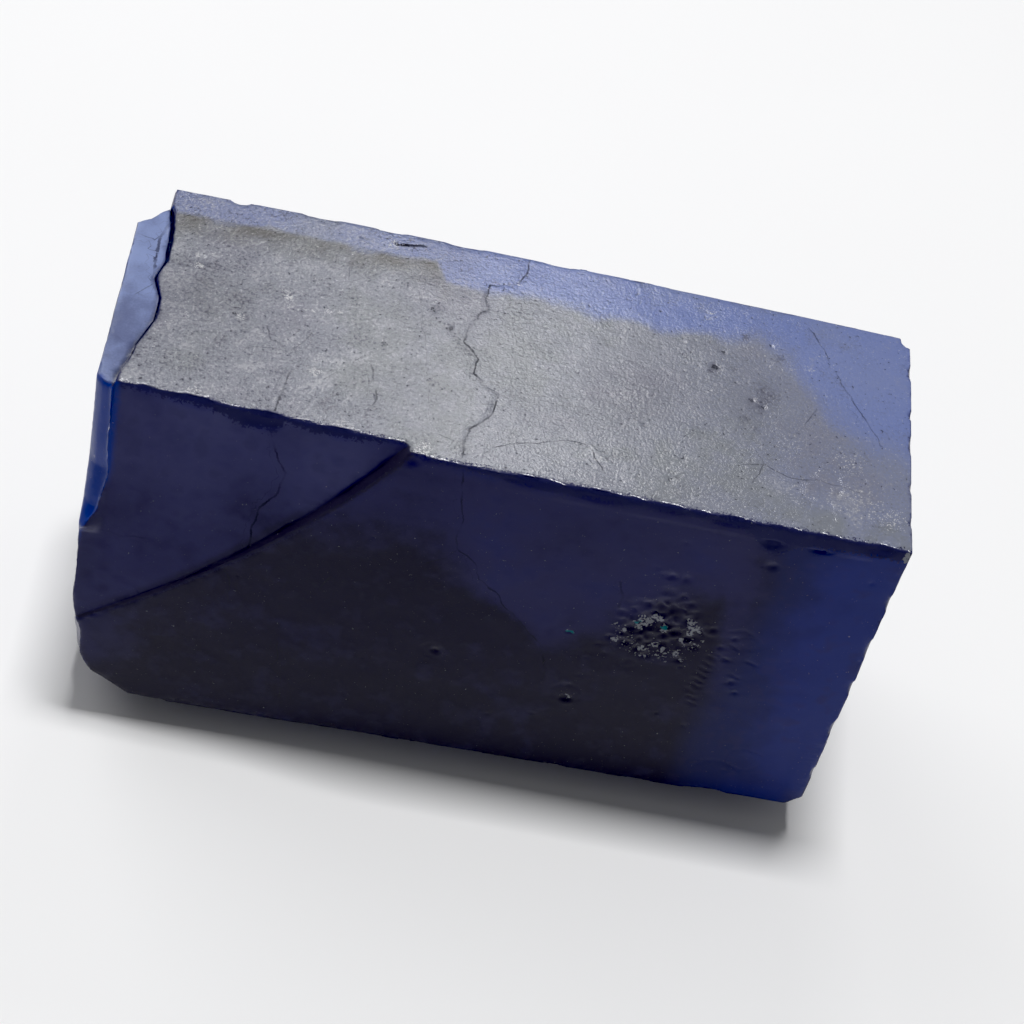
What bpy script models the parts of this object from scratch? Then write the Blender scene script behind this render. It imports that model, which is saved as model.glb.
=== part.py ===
"""Rough tanzanite: one blocky piece of crystal with worn sawn faces, a broken ledge across its front,
an open crack and a loose-looking flake at its left end, and chips along its edges.

Blender 4.5, metres, +Z up. X runs along the piece, -Y is the front with the ledge, and the origin is
at the middle of the flat patch that the piece rests on. The underside bulges, so every edge of it
hangs clear of the floor. Heights in this file are measured from the lower front edge.
"""

import math
import random

import bmesh
import bpy
from mathutils import Euler, Matrix, Vector, noise

MM = 0.001

# Driving dimensions, in millimetres.
LENGTH = 64.8
DEPTH = 25.0
HEIGHT = 35.8
BELLY = 3.3  # how far the bulging underside reaches below the lower front edge
BACK_FOOT = -1.3  # height of the lower back edge

# How far each corner of the blank stands back from that box, in X and in Y.
# The key is the end (-1 left, 1 right), the side (-1 front, 1 back) and the level (-1 low, 1 high).
CORNER_INSET = {
    (-1, -1, -1): (0.2, 0.2),
    (1, -1, -1): (0.1, 1.6),
    (-1, 1, -1): (0.5, 0.7),
    (1, 1, -1): (0.3, 0.1),
    (-1, -1, 1): (0.3, 0.4),
    (1, -1, 1): (0.5, 0.0),
    (-1, 1, 1): (0.0, 0.2),
    (1, 1, 1): (0.5, 0.9),
}
BLANK_CUTS = 9  # loop cuts across each face of the blank
FACE = 0.999  # a point of the blank's cube this far out lies on one of its faces
WAVE_SIZE = 15.0  # distance from one swell of a face to the next
BACK_BOW = 0.35  # how far the middle of the back stands out past its ends

# How steeply the underside falls away from its long edges and from its ends.
BELLY_FALL_SIDES = 0.58
BELLY_FALL_ENDS = 0.34
BELLY_UNEVEN = 0.75

# How far the swells of each face rise and fall.
SWELL_TOP = 0.05
SWELL_FRONT = 0.08
SWELL_BACK = 0.60
SWELL_LEFT = 0.16
SWELL_RIGHT = 0.12

# The ledge on the front: a gentle arc, given in X and Z, that climbs from the left end to the top.
LEDGE_LOW = Vector((-31.5, 9.2))
LEDGE_BEND = Vector((-16.9, 20.5))
LEDGE_HIGH = Vector((-8.0, 35.4))
LEDGE_STEPS = 22
LEDGE_RAGGED = 0.16
# The face above the ledge lies deeper than the front, and deeper still towards its top left.
RECESS_AT_LOW_END = -12.05
RECESS_AT_TOP = -11.15
RECESS_AT_TOP_LEFT = -10.35

# The open crack across the top near the left end, in X and Y, from back to front.
OPEN_CRACK = [(-29.9, 10.2), (-29.4, 7.5), (-29.2, 3.7), (-29.7, 1.7), (-28.9, -0.6), (-28.9, -3.1),
              (-29.8, -6.0), (-29.9, -7.2), (-30.5, -9.6), (-30.8, -12.0)]
OPEN_CRACK_WIDTH = 0.42
OPEN_CRACK_DEPTH = 2.4
# A thinner crack beside it, which closes off a sliver.
SLIVER_CRACK = [(-29.8, 9.9), (-30.1, 6.0), (-29.9, 3.2), (-29.6, 1.5)]
SLIVER_CRACK_WIDTH = 0.22
SLIVER_CRACK_DEPTH = 0.9

# The flake left of the open crack lies lower than the top, and slopes down to the left end.
FLAKE_DROP = 0.25
FLAKE_SLOPE = 0.10

# The glassy break along the front left edge: its width at heights from its tip to above the top.
BREAK_WIDTHS = ((19.6, 0.1), (22.0, 1.4), (25.8, 2.0), (31.2, 1.6), (35.0, 1.35), (38.0, 2.2))
BREAK_LEAN = 1.3  # how far back it reaches for each millimetre of its width
BREAK_STEP = 0.2  # how deep its inner border is, for each millimetre of its width

# The spall at the back left corner.
SPALL_FLOOR = 17.0

# The crumbly cluster of pits on the front: its middle in X and Z, and how far apart its pits are.
PIT_CLUSTER = Vector((15.6, 20.9))
PIT_SPACING = 1.18
PIT_COUNT = 14

CHIP_SEED = 27
NICK_SEED = 5
FOOT_SEED = 11


def placed(point):
    """A point of the stone in metres above the floor, from millimetres above the lower front edge."""
    return (Vector(point) + Vector((0.0, 0.0, BELLY))) * MM


def blank_corner(end, side, level):
    """One corner of the blank, in millimetres."""
    inset_x, inset_y = CORNER_INSET[(end, side, level)]
    if level > 0:
        height = HEIGHT
    else:
        height = BACK_FOOT if side > 0 else 0.0
    return Vector((end * (LENGTH / 2 - inset_x), side * (DEPTH / 2 - inset_y), height))


def inside_blank(u, v, w):
    """The point of the blank at u, v, w, each from -1 to 1, blended from its eight corners."""
    point = Vector((0.0, 0.0, 0.0))
    for end, side, level in CORNER_INSET:
        weight = (1 + end * u) * (1 + side * v) * (1 + level * w) / 8
        point += weight * blank_corner(end, side, level)
    return point


def swell(point, offset):
    """A smooth wave between -1 and 1 over the face of the stone."""
    return noise.noise(point / WAVE_SIZE + Vector((offset, 2.0 * offset, 0.5)))


def belly_height(u, v, point):
    """Height of the underside: it falls away unevenly from every edge, down to the flat patch."""
    uneven = 1 + BELLY_UNEVEN * swell(point, 6.0)
    from_end = (1 - abs(u)) * LENGTH / 2
    from_side = (1 - abs(v)) * DEPTH / 2
    fall = min(from_end * BELLY_FALL_ENDS, from_side * BELLY_FALL_SIDES) * uneven
    return max(-BELLY, point.z - fall)


def make_blank():
    """The block before it is broken: a subdivided cube fitted to its corners, with swelling faces."""
    mesh = bmesh.new()
    bmesh.ops.create_cube(mesh, size=2.0)
    bmesh.ops.subdivide_edges(mesh, edges=mesh.edges[:], cuts=BLANK_CUTS, use_grid_fill=True)
    for vert in mesh.verts:
        u, v, w = vert.co
        point = inside_blank(u, v, w)
        if w < -FACE:
            point.z = belly_height(u, v, point)
        # The swells of the sides fade out towards the underside.
        lift = min(1.0, (w + 1) * 2)
        shift = Vector((0.0, 0.0, 0.0))
        if w > FACE:
            shift.z += SWELL_TOP * swell(point, 1.0)
        if v < -FACE:
            shift.y += SWELL_FRONT * swell(point, 2.0) * lift
        if v > FACE:
            edge_fade = 1 - abs(w) ** 3
            shift.y += SWELL_BACK * (swell(point, 3.0) - 0.5) * lift * edge_fade + BACK_BOW * (1 - u * u)
        if u < -FACE:
            shift.x += SWELL_LEFT * swell(point, 4.0) * lift
        if u > FACE:
            shift.x += SWELL_RIGHT * swell(point, 5.0) * lift
        vert.co = placed(point + shift)
    return mesh


def add_object(name, mesh):
    """Turns a bmesh into an object in the scene."""
    bmesh.ops.recalc_face_normals(mesh, faces=mesh.faces[:])
    data = bpy.data.meshes.new(name)
    mesh.to_mesh(data)
    mesh.free()
    obj = bpy.data.objects.new(name, data)
    bpy.context.scene.collection.objects.link(obj)
    return obj


def add_loft(mesh, loops):
    """Closes the space between loops of points, which are given in order and in millimetres."""
    rings = [[mesh.verts.new(placed(point)) for point in loop] for loop in loops]
    mesh.faces.new(rings[0])
    mesh.faces.new(list(reversed(rings[-1])))
    count = len(rings[0])
    for near, far in zip(rings, rings[1:]):
        for i in range(count):
            j = (i + 1) % count
            mesh.faces.new((near[j], near[i], far[i], far[j]))


def add_scoop(mesh, centre, radii, turn=(0.0, 0.0, 0.0)):
    """A small faceted ellipsoid, which leaves a shell-shaped hollow where it cuts."""
    made = bmesh.ops.create_icosphere(mesh, subdivisions=2, radius=1.0)
    matrix = (Matrix.Translation(placed(centre))
              @ Euler([math.radians(angle) for angle in turn]).to_matrix().to_4x4()
              @ Matrix.Diagonal((*[radius * MM for radius in radii], 1.0)))
    bmesh.ops.transform(mesh, matrix=matrix, verts=made["verts"])


def cut(stone, name, mesh):
    """Takes the cutter's shape out of the stone."""
    cutter = add_object(name, mesh)
    cutter.hide_render = True
    cutter.display_type = "WIRE"
    boolean = stone.modifiers.new(name, "BOOLEAN")
    boolean.operation = "DIFFERENCE"
    boolean.solver = "EXACT"
    boolean.object = cutter


def ledge_point(t):
    """The arc of the ledge in X and Z. It runs on past its ends for t below 0 and above 1."""
    return (1 - t) ** 2 * LEDGE_LOW + 2 * t * (1 - t) * LEDGE_BEND + t ** 2 * LEDGE_HIGH


def recess_y(x, z):
    """The plane of the face above the ledge, through its low end, the ledge's top and the top left."""
    corner = Vector((-LENGTH / 2, RECESS_AT_TOP_LEFT, HEIGHT))
    along_top = Vector((LEDGE_HIGH.x, RECESS_AT_TOP, HEIGHT)) - corner
    down_end = Vector((-LENGTH / 2, RECESS_AT_LOW_END, LEDGE_LOW.y)) - corner
    normal = along_top.cross(down_end)
    return corner.y - (normal.x * (x - corner.x) + normal.z * (z - corner.z)) / normal.y


def cut_ledge(stone):
    """Sets the face above the ledge back from the rest of the front."""
    clear = 6.0
    front = -DEPTH / 2 - clear
    inner = []
    outer = []
    for i in range(LEDGE_STEPS + 1):
        t = -0.12 + 1.24 * i / LEDGE_STEPS
        middle = ledge_point(t)
        ragged = LEDGE_RAGGED * noise.noise(Vector((i * 1.7, 3.1, 0.4)))
        inner.append((middle.x, recess_y(middle.x, middle.y), middle.y))
        outer.append((middle.x + ragged + clear * 0.1, front, middle.y - ragged - clear * 0.1))
    top = HEIGHT + clear
    left = -LENGTH / 2 - clear
    for x, z in ((inner[-1][0], top), (left, top), (left, inner[0][2])):
        inner.append((x, recess_y(x, z), z))
        outer.append((x, front, z))
    mesh = bmesh.new()
    add_loft(mesh, (inner, outer))
    cut(stone, "ledge_cutter", mesh)


def crack_cutter(route, width, depth):
    """A wedge-shaped groove along a route over the top face, widest and deepest at its back end."""
    above = 1.0
    last = len(route) - 1
    loops = []
    for i, (x, y) in enumerate(route):
        along = (Vector(route[min(i + 1, last)]) - Vector(route[max(i - 1, 0)])).normalized()
        taper = 1 - 0.4 * i / last
        reach = depth * taper
        side = Vector((-along.y, along.x, 0.0)) * (0.5 * width * taper * (reach + above) / reach)
        rim = Vector((x, y, HEIGHT + above))
        loops.append((rim + side, rim - side, Vector((x, y, HEIGHT - reach))))
    mesh = bmesh.new()
    add_loft(mesh, loops)
    return mesh


def cut_flake(stone):
    """Lowers the top of the flake, between the open crack and the left end."""
    clear = 5.0
    route = [(OPEN_CRACK[0][0], OPEN_CRACK[0][1] + clear)] + OPEN_CRACK
    route.append((OPEN_CRACK[-1][0], OPEN_CRACK[-1][1] - clear))
    left = -LENGTH / 2 - clear
    outline = route + [(left, route[-1][1]), (left, route[0][1])]
    edge = OPEN_CRACK[0][0]
    low = [(x, y, HEIGHT - FLAKE_DROP - FLAKE_SLOPE * (edge - x)) for x, y in outline]
    high = [(x, y, HEIGHT + clear) for x, y in outline]
    mesh = bmesh.new()
    add_loft(mesh, (low, high))
    cut(stone, "flake_cutter", mesh)


def cut_front_left_break(stone):
    """The narrow glassy break along the front left edge. It ends in a point at its foot."""
    clear = 4.0
    left = -LENGTH / 2
    loops = []
    for z, width in BREAK_WIDTHS:
        front = recess_y(left, z)
        edge = left + width
        depth = BREAK_LEAN * width
        loops.append([(edge, front - clear, z), (edge, front + BREAK_STEP * width, z), (left, front + depth, z),
                      (left - clear, front + depth + clear * BREAK_LEAN, z), (left - clear, front - clear, z)])
    mesh = bmesh.new()
    add_loft(mesh, loops)
    cut(stone, "front_left_break_cutter", mesh)


def cut_back_left_spall(stone):
    """The piece missing from the back left corner, behind the flake. Its floor runs out to the edge."""
    clear = 5.0
    left = -LENGTH / 2
    back = DEPTH / 2
    high = [(-29.6, back + clear), (-29.7, 9.5), (-30.2, 9.1), (-31.1, 7.9), (left, 7.1),
            (left - clear, 6.0), (left - clear, back + clear)]
    low = [(left + 1.6, back + clear), (left + 0.9, back - 0.9), (left + 0.6, back - 1.2),
           (left + 0.3, back - 1.5), (left - 0.2, back - 1.8), (left - clear, back - 2.2),
           (left - clear, back + clear)]
    mesh = bmesh.new()
    add_loft(mesh, ([(x, y, SPALL_FLOOR) for x, y in low], [(x, y, HEIGHT + clear) for x, y in high]))
    cut(stone, "back_left_spall_cutter", mesh)


def cut_corner_facets(stone):
    """Blunt corners: three facets round off the low front left one, and one blunts the low right."""
    far = 20.0
    facets = (
        ("low_left_facet_a", (-31.9, -12.4, 8.0), (-31.0, -12.4, 4.6), 0.30),
        ("low_left_facet_b", (-31.2, -12.4, 5.0), (-29.6, -12.4, 2.0), 0.34),
        ("low_left_facet_c", (-29.9, -12.4, 2.4), (-26.6, -12.4, -0.1), 0.38),
        ("low_right_facet", (31.0, -10.9, -0.1), (32.6, -10.9, 1.7), 0.10),
    )
    for name, start, end, lean in facets:
        start = Vector(start)
        end = Vector(end)
        along = (end - start).normalized()
        outward = Vector((along.z, 0.0, -along.x))
        # The facet leans in towards the front, so that it takes little off the far side of the end.
        away = Vector((outward.x, -lean, outward.z)).normalized()
        across = away.cross(along).normalized()
        corners = [start - along * far - across * far, end + along * far - across * far,
                   end + along * far + across * far, start - along * far + across * far]
        mesh = bmesh.new()
        add_loft(mesh, (corners, [corner + away * far for corner in corners]))
        cut(stone, name, mesh)


def front_at(x, z):
    """Where the front lies, in Y, at its top edge (z is HEIGHT) or lower down."""
    if x < LEDGE_HIGH.x and z > LEDGE_HIGH.y - 1.0:
        return recess_y(x, HEIGHT)
    return inside_blank(2 * x / LENGTH, -1.0, 2 * z / HEIGHT - 1).y


def cut_top_front_chips(stone):
    """Large chips below the top front edge. Neighbours go in separate cutters, so none overlap."""
    rng = random.Random(CHIP_SEED)
    # Place on X, reach along X, and reach down the front.
    chips = ((-24.6, 2.4, 0.7), (-19.0, 2.0, 1.1), (-13.2, 1.5, 0.7), (-7.3, 0.9, 0.9), (1.9, 2.6, 0.6),
             (7.2, 2.6, 0.8), (12.6, 2.0, 0.6), (17.6, 2.0, 0.7), (21.3, 1.4, 2.1), (25.0, 1.9, 1.6),
             (29.3, 1.5, 0.7))
    turns = [bmesh.new(), bmesh.new()]
    for i, (x, reach, drop) in enumerate(chips):
        centre = (x, front_at(x, HEIGHT) - 0.2, HEIGHT - 0.6 * drop)
        radii = (reach, rng.uniform(0.45, 0.55), drop)
        add_scoop(turns[i % 2], centre, radii, (0.0, rng.uniform(-6, 6), 0.0))
    cut(stone, "top_front_chip_cutter_a", turns[0])
    cut(stone, "top_front_chip_cutter_b", turns[1])


def cut_edge_nicks(stone):
    """Small nicks along the top front, the top back, the top right and the upright right edges."""
    rng = random.Random(NICK_SEED)
    back = DEPTH / 2
    right = LENGTH / 2
    mesh = bmesh.new()
    for i in range(14):
        x = -28.5 + 4.3 * i + rng.uniform(-0.8, 0.8)
        add_scoop(mesh, (x, front_at(x, HEIGHT) - 0.05, HEIGHT + 0.02),
                  (rng.uniform(0.5, 0.9), 0.32, rng.uniform(0.3, 0.5)), (0.0, rng.uniform(-20, 20), 0.0))
    for i in range(9):
        x = -25.0 + 6.6 * i + rng.uniform(-1.0, 1.0)
        add_scoop(mesh, (x, back - 0.1, HEIGHT - 0.1),
                  (rng.uniform(0.8, 1.9), rng.uniform(0.25, 0.5), rng.uniform(0.6, 1.3)))
    add_scoop(mesh, (right - 0.2, back - 0.9, HEIGHT), (1.2, 1.0, 2.2), (0.0, 0.0, 45.0))
    for i in range(5):
        y = -9.0 + 4.0 * i + rng.uniform(-0.6, 0.6)
        add_scoop(mesh, (right - 0.45, y, HEIGHT), (0.4, rng.uniform(0.5, 1.3), 0.45))
    for i in range(5):
        z = 5.5 + 6.2 * i + rng.uniform(-1.0, 1.0)
        add_scoop(mesh, (right - 0.1 - 0.4 * z / HEIGHT, front_at(right, z) - 0.05, z),
                  (0.45, 0.4, rng.uniform(0.7, 1.6)))
    cut(stone, "edge_nick_cutter", mesh)


def cut_foot_chips(stone):
    """Chips along the edges of the underside."""
    rng = random.Random(FOOT_SEED)
    back = DEPTH / 2
    turns = [bmesh.new(), bmesh.new()]
    for i in range(8):
        x = -22.0 + 6.6 * i + rng.uniform(-1.2, 1.2)
        add_scoop(turns[i % 2], (x, front_at(x, 0.0) - 0.1, 0.0),
                  (rng.uniform(1.0, 2.2), 0.5, rng.uniform(0.15, 0.35)))
        add_scoop(turns[i % 2], (x + 2.0, back - 0.35, BACK_FOOT),
                  (rng.uniform(1.2, 2.8), 0.9, rng.uniform(0.5, 1.2)))
    cut(stone, "foot_chip_cutter_a", turns[0])
    cut(stone, "foot_chip_cutter_b", turns[1])


def cut_front_pits(stone):
    """The crumbly cluster of pits right of the middle of the front, and a few single pits round it."""
    # The pits of the cluster lie on a spiral that fills it evenly.
    golden_angle = math.radians(137.5)
    pits = []
    for i in range(PIT_COUNT):
        reach = PIT_SPACING * math.sqrt(i + 0.5)
        x = PIT_CLUSTER.x + 1.15 * reach * math.cos(i * golden_angle)
        z = PIT_CLUSTER.y + reach * math.sin(i * golden_angle)
        pits.append((x, z, 0.56 - 0.012 * i))
    pits += [(9.6, 9.7, 0.6), (-2.0, 13.0, 0.5), (22.3, 15.7, 0.45), (14.7, 27.6, 0.5), (8.2, 18.5, 0.35),
             (21.3, 21.4, 0.4)]
    mesh = bmesh.new()
    for i, (x, z, radius) in enumerate(pits):
        centre = (x, front_at(x, z) - 0.1, z)
        add_scoop(mesh, centre, (radius, 0.8 * radius, 0.85 * radius), (0.0, 40.0 * i, 0.0))
    cut(stone, "front_pit_cutter", mesh)


def cut_hidden_sides(stone):
    """Broken forms of the back, the left end and the right end."""
    back = DEPTH / 2
    right = LENGTH / 2
    # A parting step along the lower back: its floor is flat, and its wall leans.
    mesh = bmesh.new()
    outline = [(-40.0, -5.0), (-40.0, 9.5), (-21.0, 11.2), (-6.0, 8.4), (9.0, 9.6), (15.5, -5.0)]
    floor = [(x, back - 1.5 + 0.01 * x, z) for x, z in outline]
    mouth = [(x, back + 5.0, z + (1.6 if z > 0 else 0.0)) for x, z in outline]
    add_loft(mesh, (floor, mouth))
    cut(stone, "back_step_cutter", mesh)
    # Shell-shaped hollows where pieces came off.
    mesh = bmesh.new()
    add_scoop(mesh, (17.0, back + 1.3, 24.0), (11.5, 2.6, 8.0), (0.0, 12.0, 0.0))
    add_scoop(mesh, (-15.0, back + 1.2, 25.5), (8.5, 2.2, 6.0), (0.0, -18.0, 0.0))
    add_scoop(mesh, (-LENGTH / 2 - 0.9, 1.5, 10.0), (1.9, 7.0, 6.5), (15.0, 0.0, 0.0))
    add_scoop(mesh, (right + 0.7, 2.5, 22.0), (1.5, 5.6, 8.5), (-20.0, 0.0, 0.0))
    cut(stone, "hollow_cutter", mesh)
    # A thin flat spall off the low back corner of the right end.
    mesh = bmesh.new()
    outline = [(2.4, -5.0), (4.6, 6.0), (7.4, 12.5), (9.6, 21.0), (20.0, 26.5), (20.0, -5.0)]
    near = [(right - 0.95, y, z) for y, z in outline]
    add_loft(mesh, (near, [(right + 5.0, y - 1.5, z + 1.5) for y, z in outline]))
    cut(stone, "right_spall_cutter", mesh)


def stone_material():
    """Deep violet blue crystal with a matt, worn surface."""
    material = bpy.data.materials.new("tanzanite")
    material.use_nodes = True
    shader = material.node_tree.nodes["Principled BSDF"]
    shader.inputs["Base Color"].default_value = (0.020, 0.024, 0.110, 1.0)
    shader.inputs["Roughness"].default_value = 0.45
    shader.inputs["Metallic"].default_value = 0.0
    shader.inputs["IOR"].default_value = 1.69
    return material


def build():
    for obj in list(bpy.data.objects):
        bpy.data.objects.remove(obj)
    stone = add_object("tanzanite", make_blank())
    cut_hidden_sides(stone)
    cut_ledge(stone)
    cut_back_left_spall(stone)
    cut_flake(stone)
    cut_front_left_break(stone)
    cut(stone, "open_crack_cutter", crack_cutter(OPEN_CRACK, OPEN_CRACK_WIDTH, OPEN_CRACK_DEPTH))
    cut(stone, "sliver_crack_cutter", crack_cutter(SLIVER_CRACK, SLIVER_CRACK_WIDTH, SLIVER_CRACK_DEPTH))
    cut_corner_facets(stone)
    cut_top_front_chips(stone)
    cut_edge_nicks(stone)
    cut_foot_chips(stone)
    cut_front_pits(stone)
    stone.data.materials.append(stone_material())


build()
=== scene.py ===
import math
from itertools import product

import bpy
import numpy as np
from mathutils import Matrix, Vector


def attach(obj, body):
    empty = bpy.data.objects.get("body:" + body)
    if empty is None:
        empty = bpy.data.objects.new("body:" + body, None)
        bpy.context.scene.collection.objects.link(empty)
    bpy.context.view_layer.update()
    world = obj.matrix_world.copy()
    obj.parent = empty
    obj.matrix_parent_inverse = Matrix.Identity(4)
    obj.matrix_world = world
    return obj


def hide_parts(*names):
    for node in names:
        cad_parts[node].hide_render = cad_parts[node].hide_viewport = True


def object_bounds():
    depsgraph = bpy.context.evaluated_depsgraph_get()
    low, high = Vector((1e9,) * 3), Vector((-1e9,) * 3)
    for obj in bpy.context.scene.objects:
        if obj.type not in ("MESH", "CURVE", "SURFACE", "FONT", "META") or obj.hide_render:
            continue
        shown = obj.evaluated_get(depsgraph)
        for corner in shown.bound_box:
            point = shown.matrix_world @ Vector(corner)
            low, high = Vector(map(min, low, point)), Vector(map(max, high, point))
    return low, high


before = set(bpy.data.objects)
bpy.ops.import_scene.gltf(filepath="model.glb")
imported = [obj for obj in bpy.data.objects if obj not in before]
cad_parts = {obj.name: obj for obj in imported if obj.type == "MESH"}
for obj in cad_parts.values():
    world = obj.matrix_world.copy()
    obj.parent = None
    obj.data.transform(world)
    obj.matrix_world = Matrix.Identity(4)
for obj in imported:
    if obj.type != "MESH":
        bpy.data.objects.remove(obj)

MM = 0.001
box_of_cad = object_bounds()
scene = bpy.context.scene

# The block, in millimetres. Heights are measured from its lower front edge, BELLY above the floor.
BELLY = 3.3
HEIGHT = 35.8

# The mesh: even voxels first, then relief, then fewer triangles. A higher weight gives larger triangles,
# and LENGTH_SAY is how much the length of an edge counts against its shape.
VOXEL = 0.12
TRIANGLES = 188000
WEIGHT_SEEN = 0.1
WEIGHT_BROKEN = 0.5
LENGTH_SAY = 0.00001
SHARP_ANGLE = 38

# Wear of the edges: how far it reaches, how sharp an edge wears fully, the wear that every edge has,
# and the shell-shaped chips: size, depth and seed.
WEAR_REACH = 0.42
WEAR_FULL = 0.26
WEAR_LEAST = 0.04
CHIPS = ((2.3, 0.13, 201), (1.1, 0.12, 211), (0.55, 0.1, 221))

# Nicks of the outer edges are measured in steps along the edge, against the furthest points up to NICK_BINS
# steps away. NICK_SLACK is the depth that always stays. The shares are how much of the rest is filled, on the
# outer edges and on the top front edge, and NICK_FADE is how far from its ends an edge is filled less.
NICK_STEP = 0.3
NICK_BINS = 5
NICK_SLACK = 0.04
NICK_SHARE = 0.85
RIM_NICK_SHARE = 0.6
NICK_FADE = 1.8

# The camera: focal length on Blender's own 36 mm sensor, place in mm, and turn in degrees.
CAMERA_LENS = 91.4
CAMERA_PLACE = (-12.81, -148.49, 178.82 + BELLY)
CAMERA_TURN = (41.94, -10.22, 5.35)

# Lights: name, place, aim and the two sides in metres, and watts.
LIGHTS = (
    ("window", (0.003, 0.225, 0.288), (0, 0, 0.035), (0.05, 0.07), 0.094),
    ("sky", (-0.42, 0.36, 0.6), (0, 0, 0.0), (0.5, 0.4), 1.2),
    ("overhead", (0.0, 0.025, 0.75), (0, 0.025, 0.0), (0.15, 0.09), 4.12),
)
STUDIO_COLOUR = (0.97, 0.98, 1.0, 1)
STUDIO_STRENGTH = 0.19
BLACK_LEVEL = 0.012


# ---------------- camera and light

camera_data = bpy.data.cameras.new("camera")
camera = bpy.data.objects.new("camera", camera_data)
scene.collection.objects.link(camera)
camera_data.lens = CAMERA_LENS
camera_data.clip_start = 0.01
camera.location = Vector(CAMERA_PLACE) * MM
camera.rotation_euler = [math.radians(angle) for angle in CAMERA_TURN]
scene.camera = camera
scene.view_settings.view_transform = "Standard"
scene.view_settings.use_curve_mapping = True
scene.view_settings.curve_mapping.black_level = (BLACK_LEVEL, BLACK_LEVEL, BLACK_LEVEL)

world = bpy.data.worlds.new("studio")
scene.world = world
world.use_nodes = True
background = world.node_tree.nodes["Background"]
background.inputs["Color"].default_value = STUDIO_COLOUR
background.inputs["Strength"].default_value = STUDIO_STRENGTH

for name, place, target, sides, watts in LIGHTS:
    light = bpy.data.lights.new(name, "AREA")
    light.shape = "RECTANGLE"
    light.size, light.size_y = sides
    light.energy = watts
    lamp = bpy.data.objects.new(name, light)
    scene.collection.objects.link(lamp)
    lamp.location = place
    lamp.rotation_euler = (Vector(target) - lamp.location).to_track_quat("-Z", "Y").to_euler()
    lamp.visible_camera = False


# ---------------- noise fields in numpy

def hashed(ix, iy, iz, seed):
    """A fixed pseudo-random number from 0 to 1 for each cell of a lattice."""
    h = (ix.astype(np.uint32) * np.uint32(374761393) + iy.astype(np.uint32) * np.uint32(668265263)
         + iz.astype(np.uint32) * np.uint32(2246822519) + np.uint32(seed * 3266489917 % 4294967296))
    h = (h ^ (h >> np.uint32(13))) * np.uint32(1274126177)
    h = (h ^ (h >> np.uint32(16))) * np.uint32(2654435761)
    h = h ^ (h >> np.uint32(15))
    return h.astype(np.float64) / 4294967295.0


def lattice_noise(points, size, seed):
    """Smooth noise from -1 to 1 with features of the given size."""
    q = points / size
    low = np.floor(q).astype(np.int64)
    f = q - low
    u = f * f * (3 - 2 * f)
    total = np.zeros(len(points))
    for dx, dy, dz in product((0, 1), repeat=3):
        wx = u[:, 0] if dx else 1 - u[:, 0]
        wy = u[:, 1] if dy else 1 - u[:, 1]
        wz = u[:, 2] if dz else 1 - u[:, 2]
        total += wx * wy * wz * hashed(low[:, 0] + dx, low[:, 1] + dy, low[:, 2] + dz, seed)
    return 2 * total - 1


def fractal(points, size, octaves, seed):
    total = np.zeros(len(points))
    weight = 1.0
    norm = 0.0
    for i in range(octaves):
        total += weight * lattice_noise(points + 17.3 * i, size / 2 ** i, seed + i)
        norm += weight
        weight *= 0.5
    return total / norm


def cell_noise(points, size, seed):
    """Distance to the nearest scattered point, in units of size, and that point's own number."""
    q = points / size
    low = np.floor(q).astype(np.int64)
    best = np.full(len(points), 9.0)
    tag = np.zeros(len(points))
    for dx, dy, dz in product((-1, 0, 1), repeat=3):
        cx, cy, cz = low[:, 0] + dx, low[:, 1] + dy, low[:, 2] + dz
        far = np.sqrt((cx + hashed(cx, cy, cz, seed) - q[:, 0]) ** 2
                      + (cy + hashed(cx, cy, cz, seed + 1) - q[:, 1]) ** 2
                      + (cz + hashed(cx, cy, cz, seed + 2) - q[:, 2]) ** 2)
        near = far < best
        best = np.where(near, far, best)
        tag = np.where(near, hashed(cx, cy, cz, seed + 3), tag)
    return best, tag


def ramp(low, high, value):
    t = np.clip((value - low) / (high - low), 0, 1)
    return t * t * (3 - 2 * t)


# ---------------- marks on the stone

# How far away a hairline is looked for, in millimetres, and the number that stands for none.
LINE_REACH = 0.6
NO_LINE = 9.0

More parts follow.
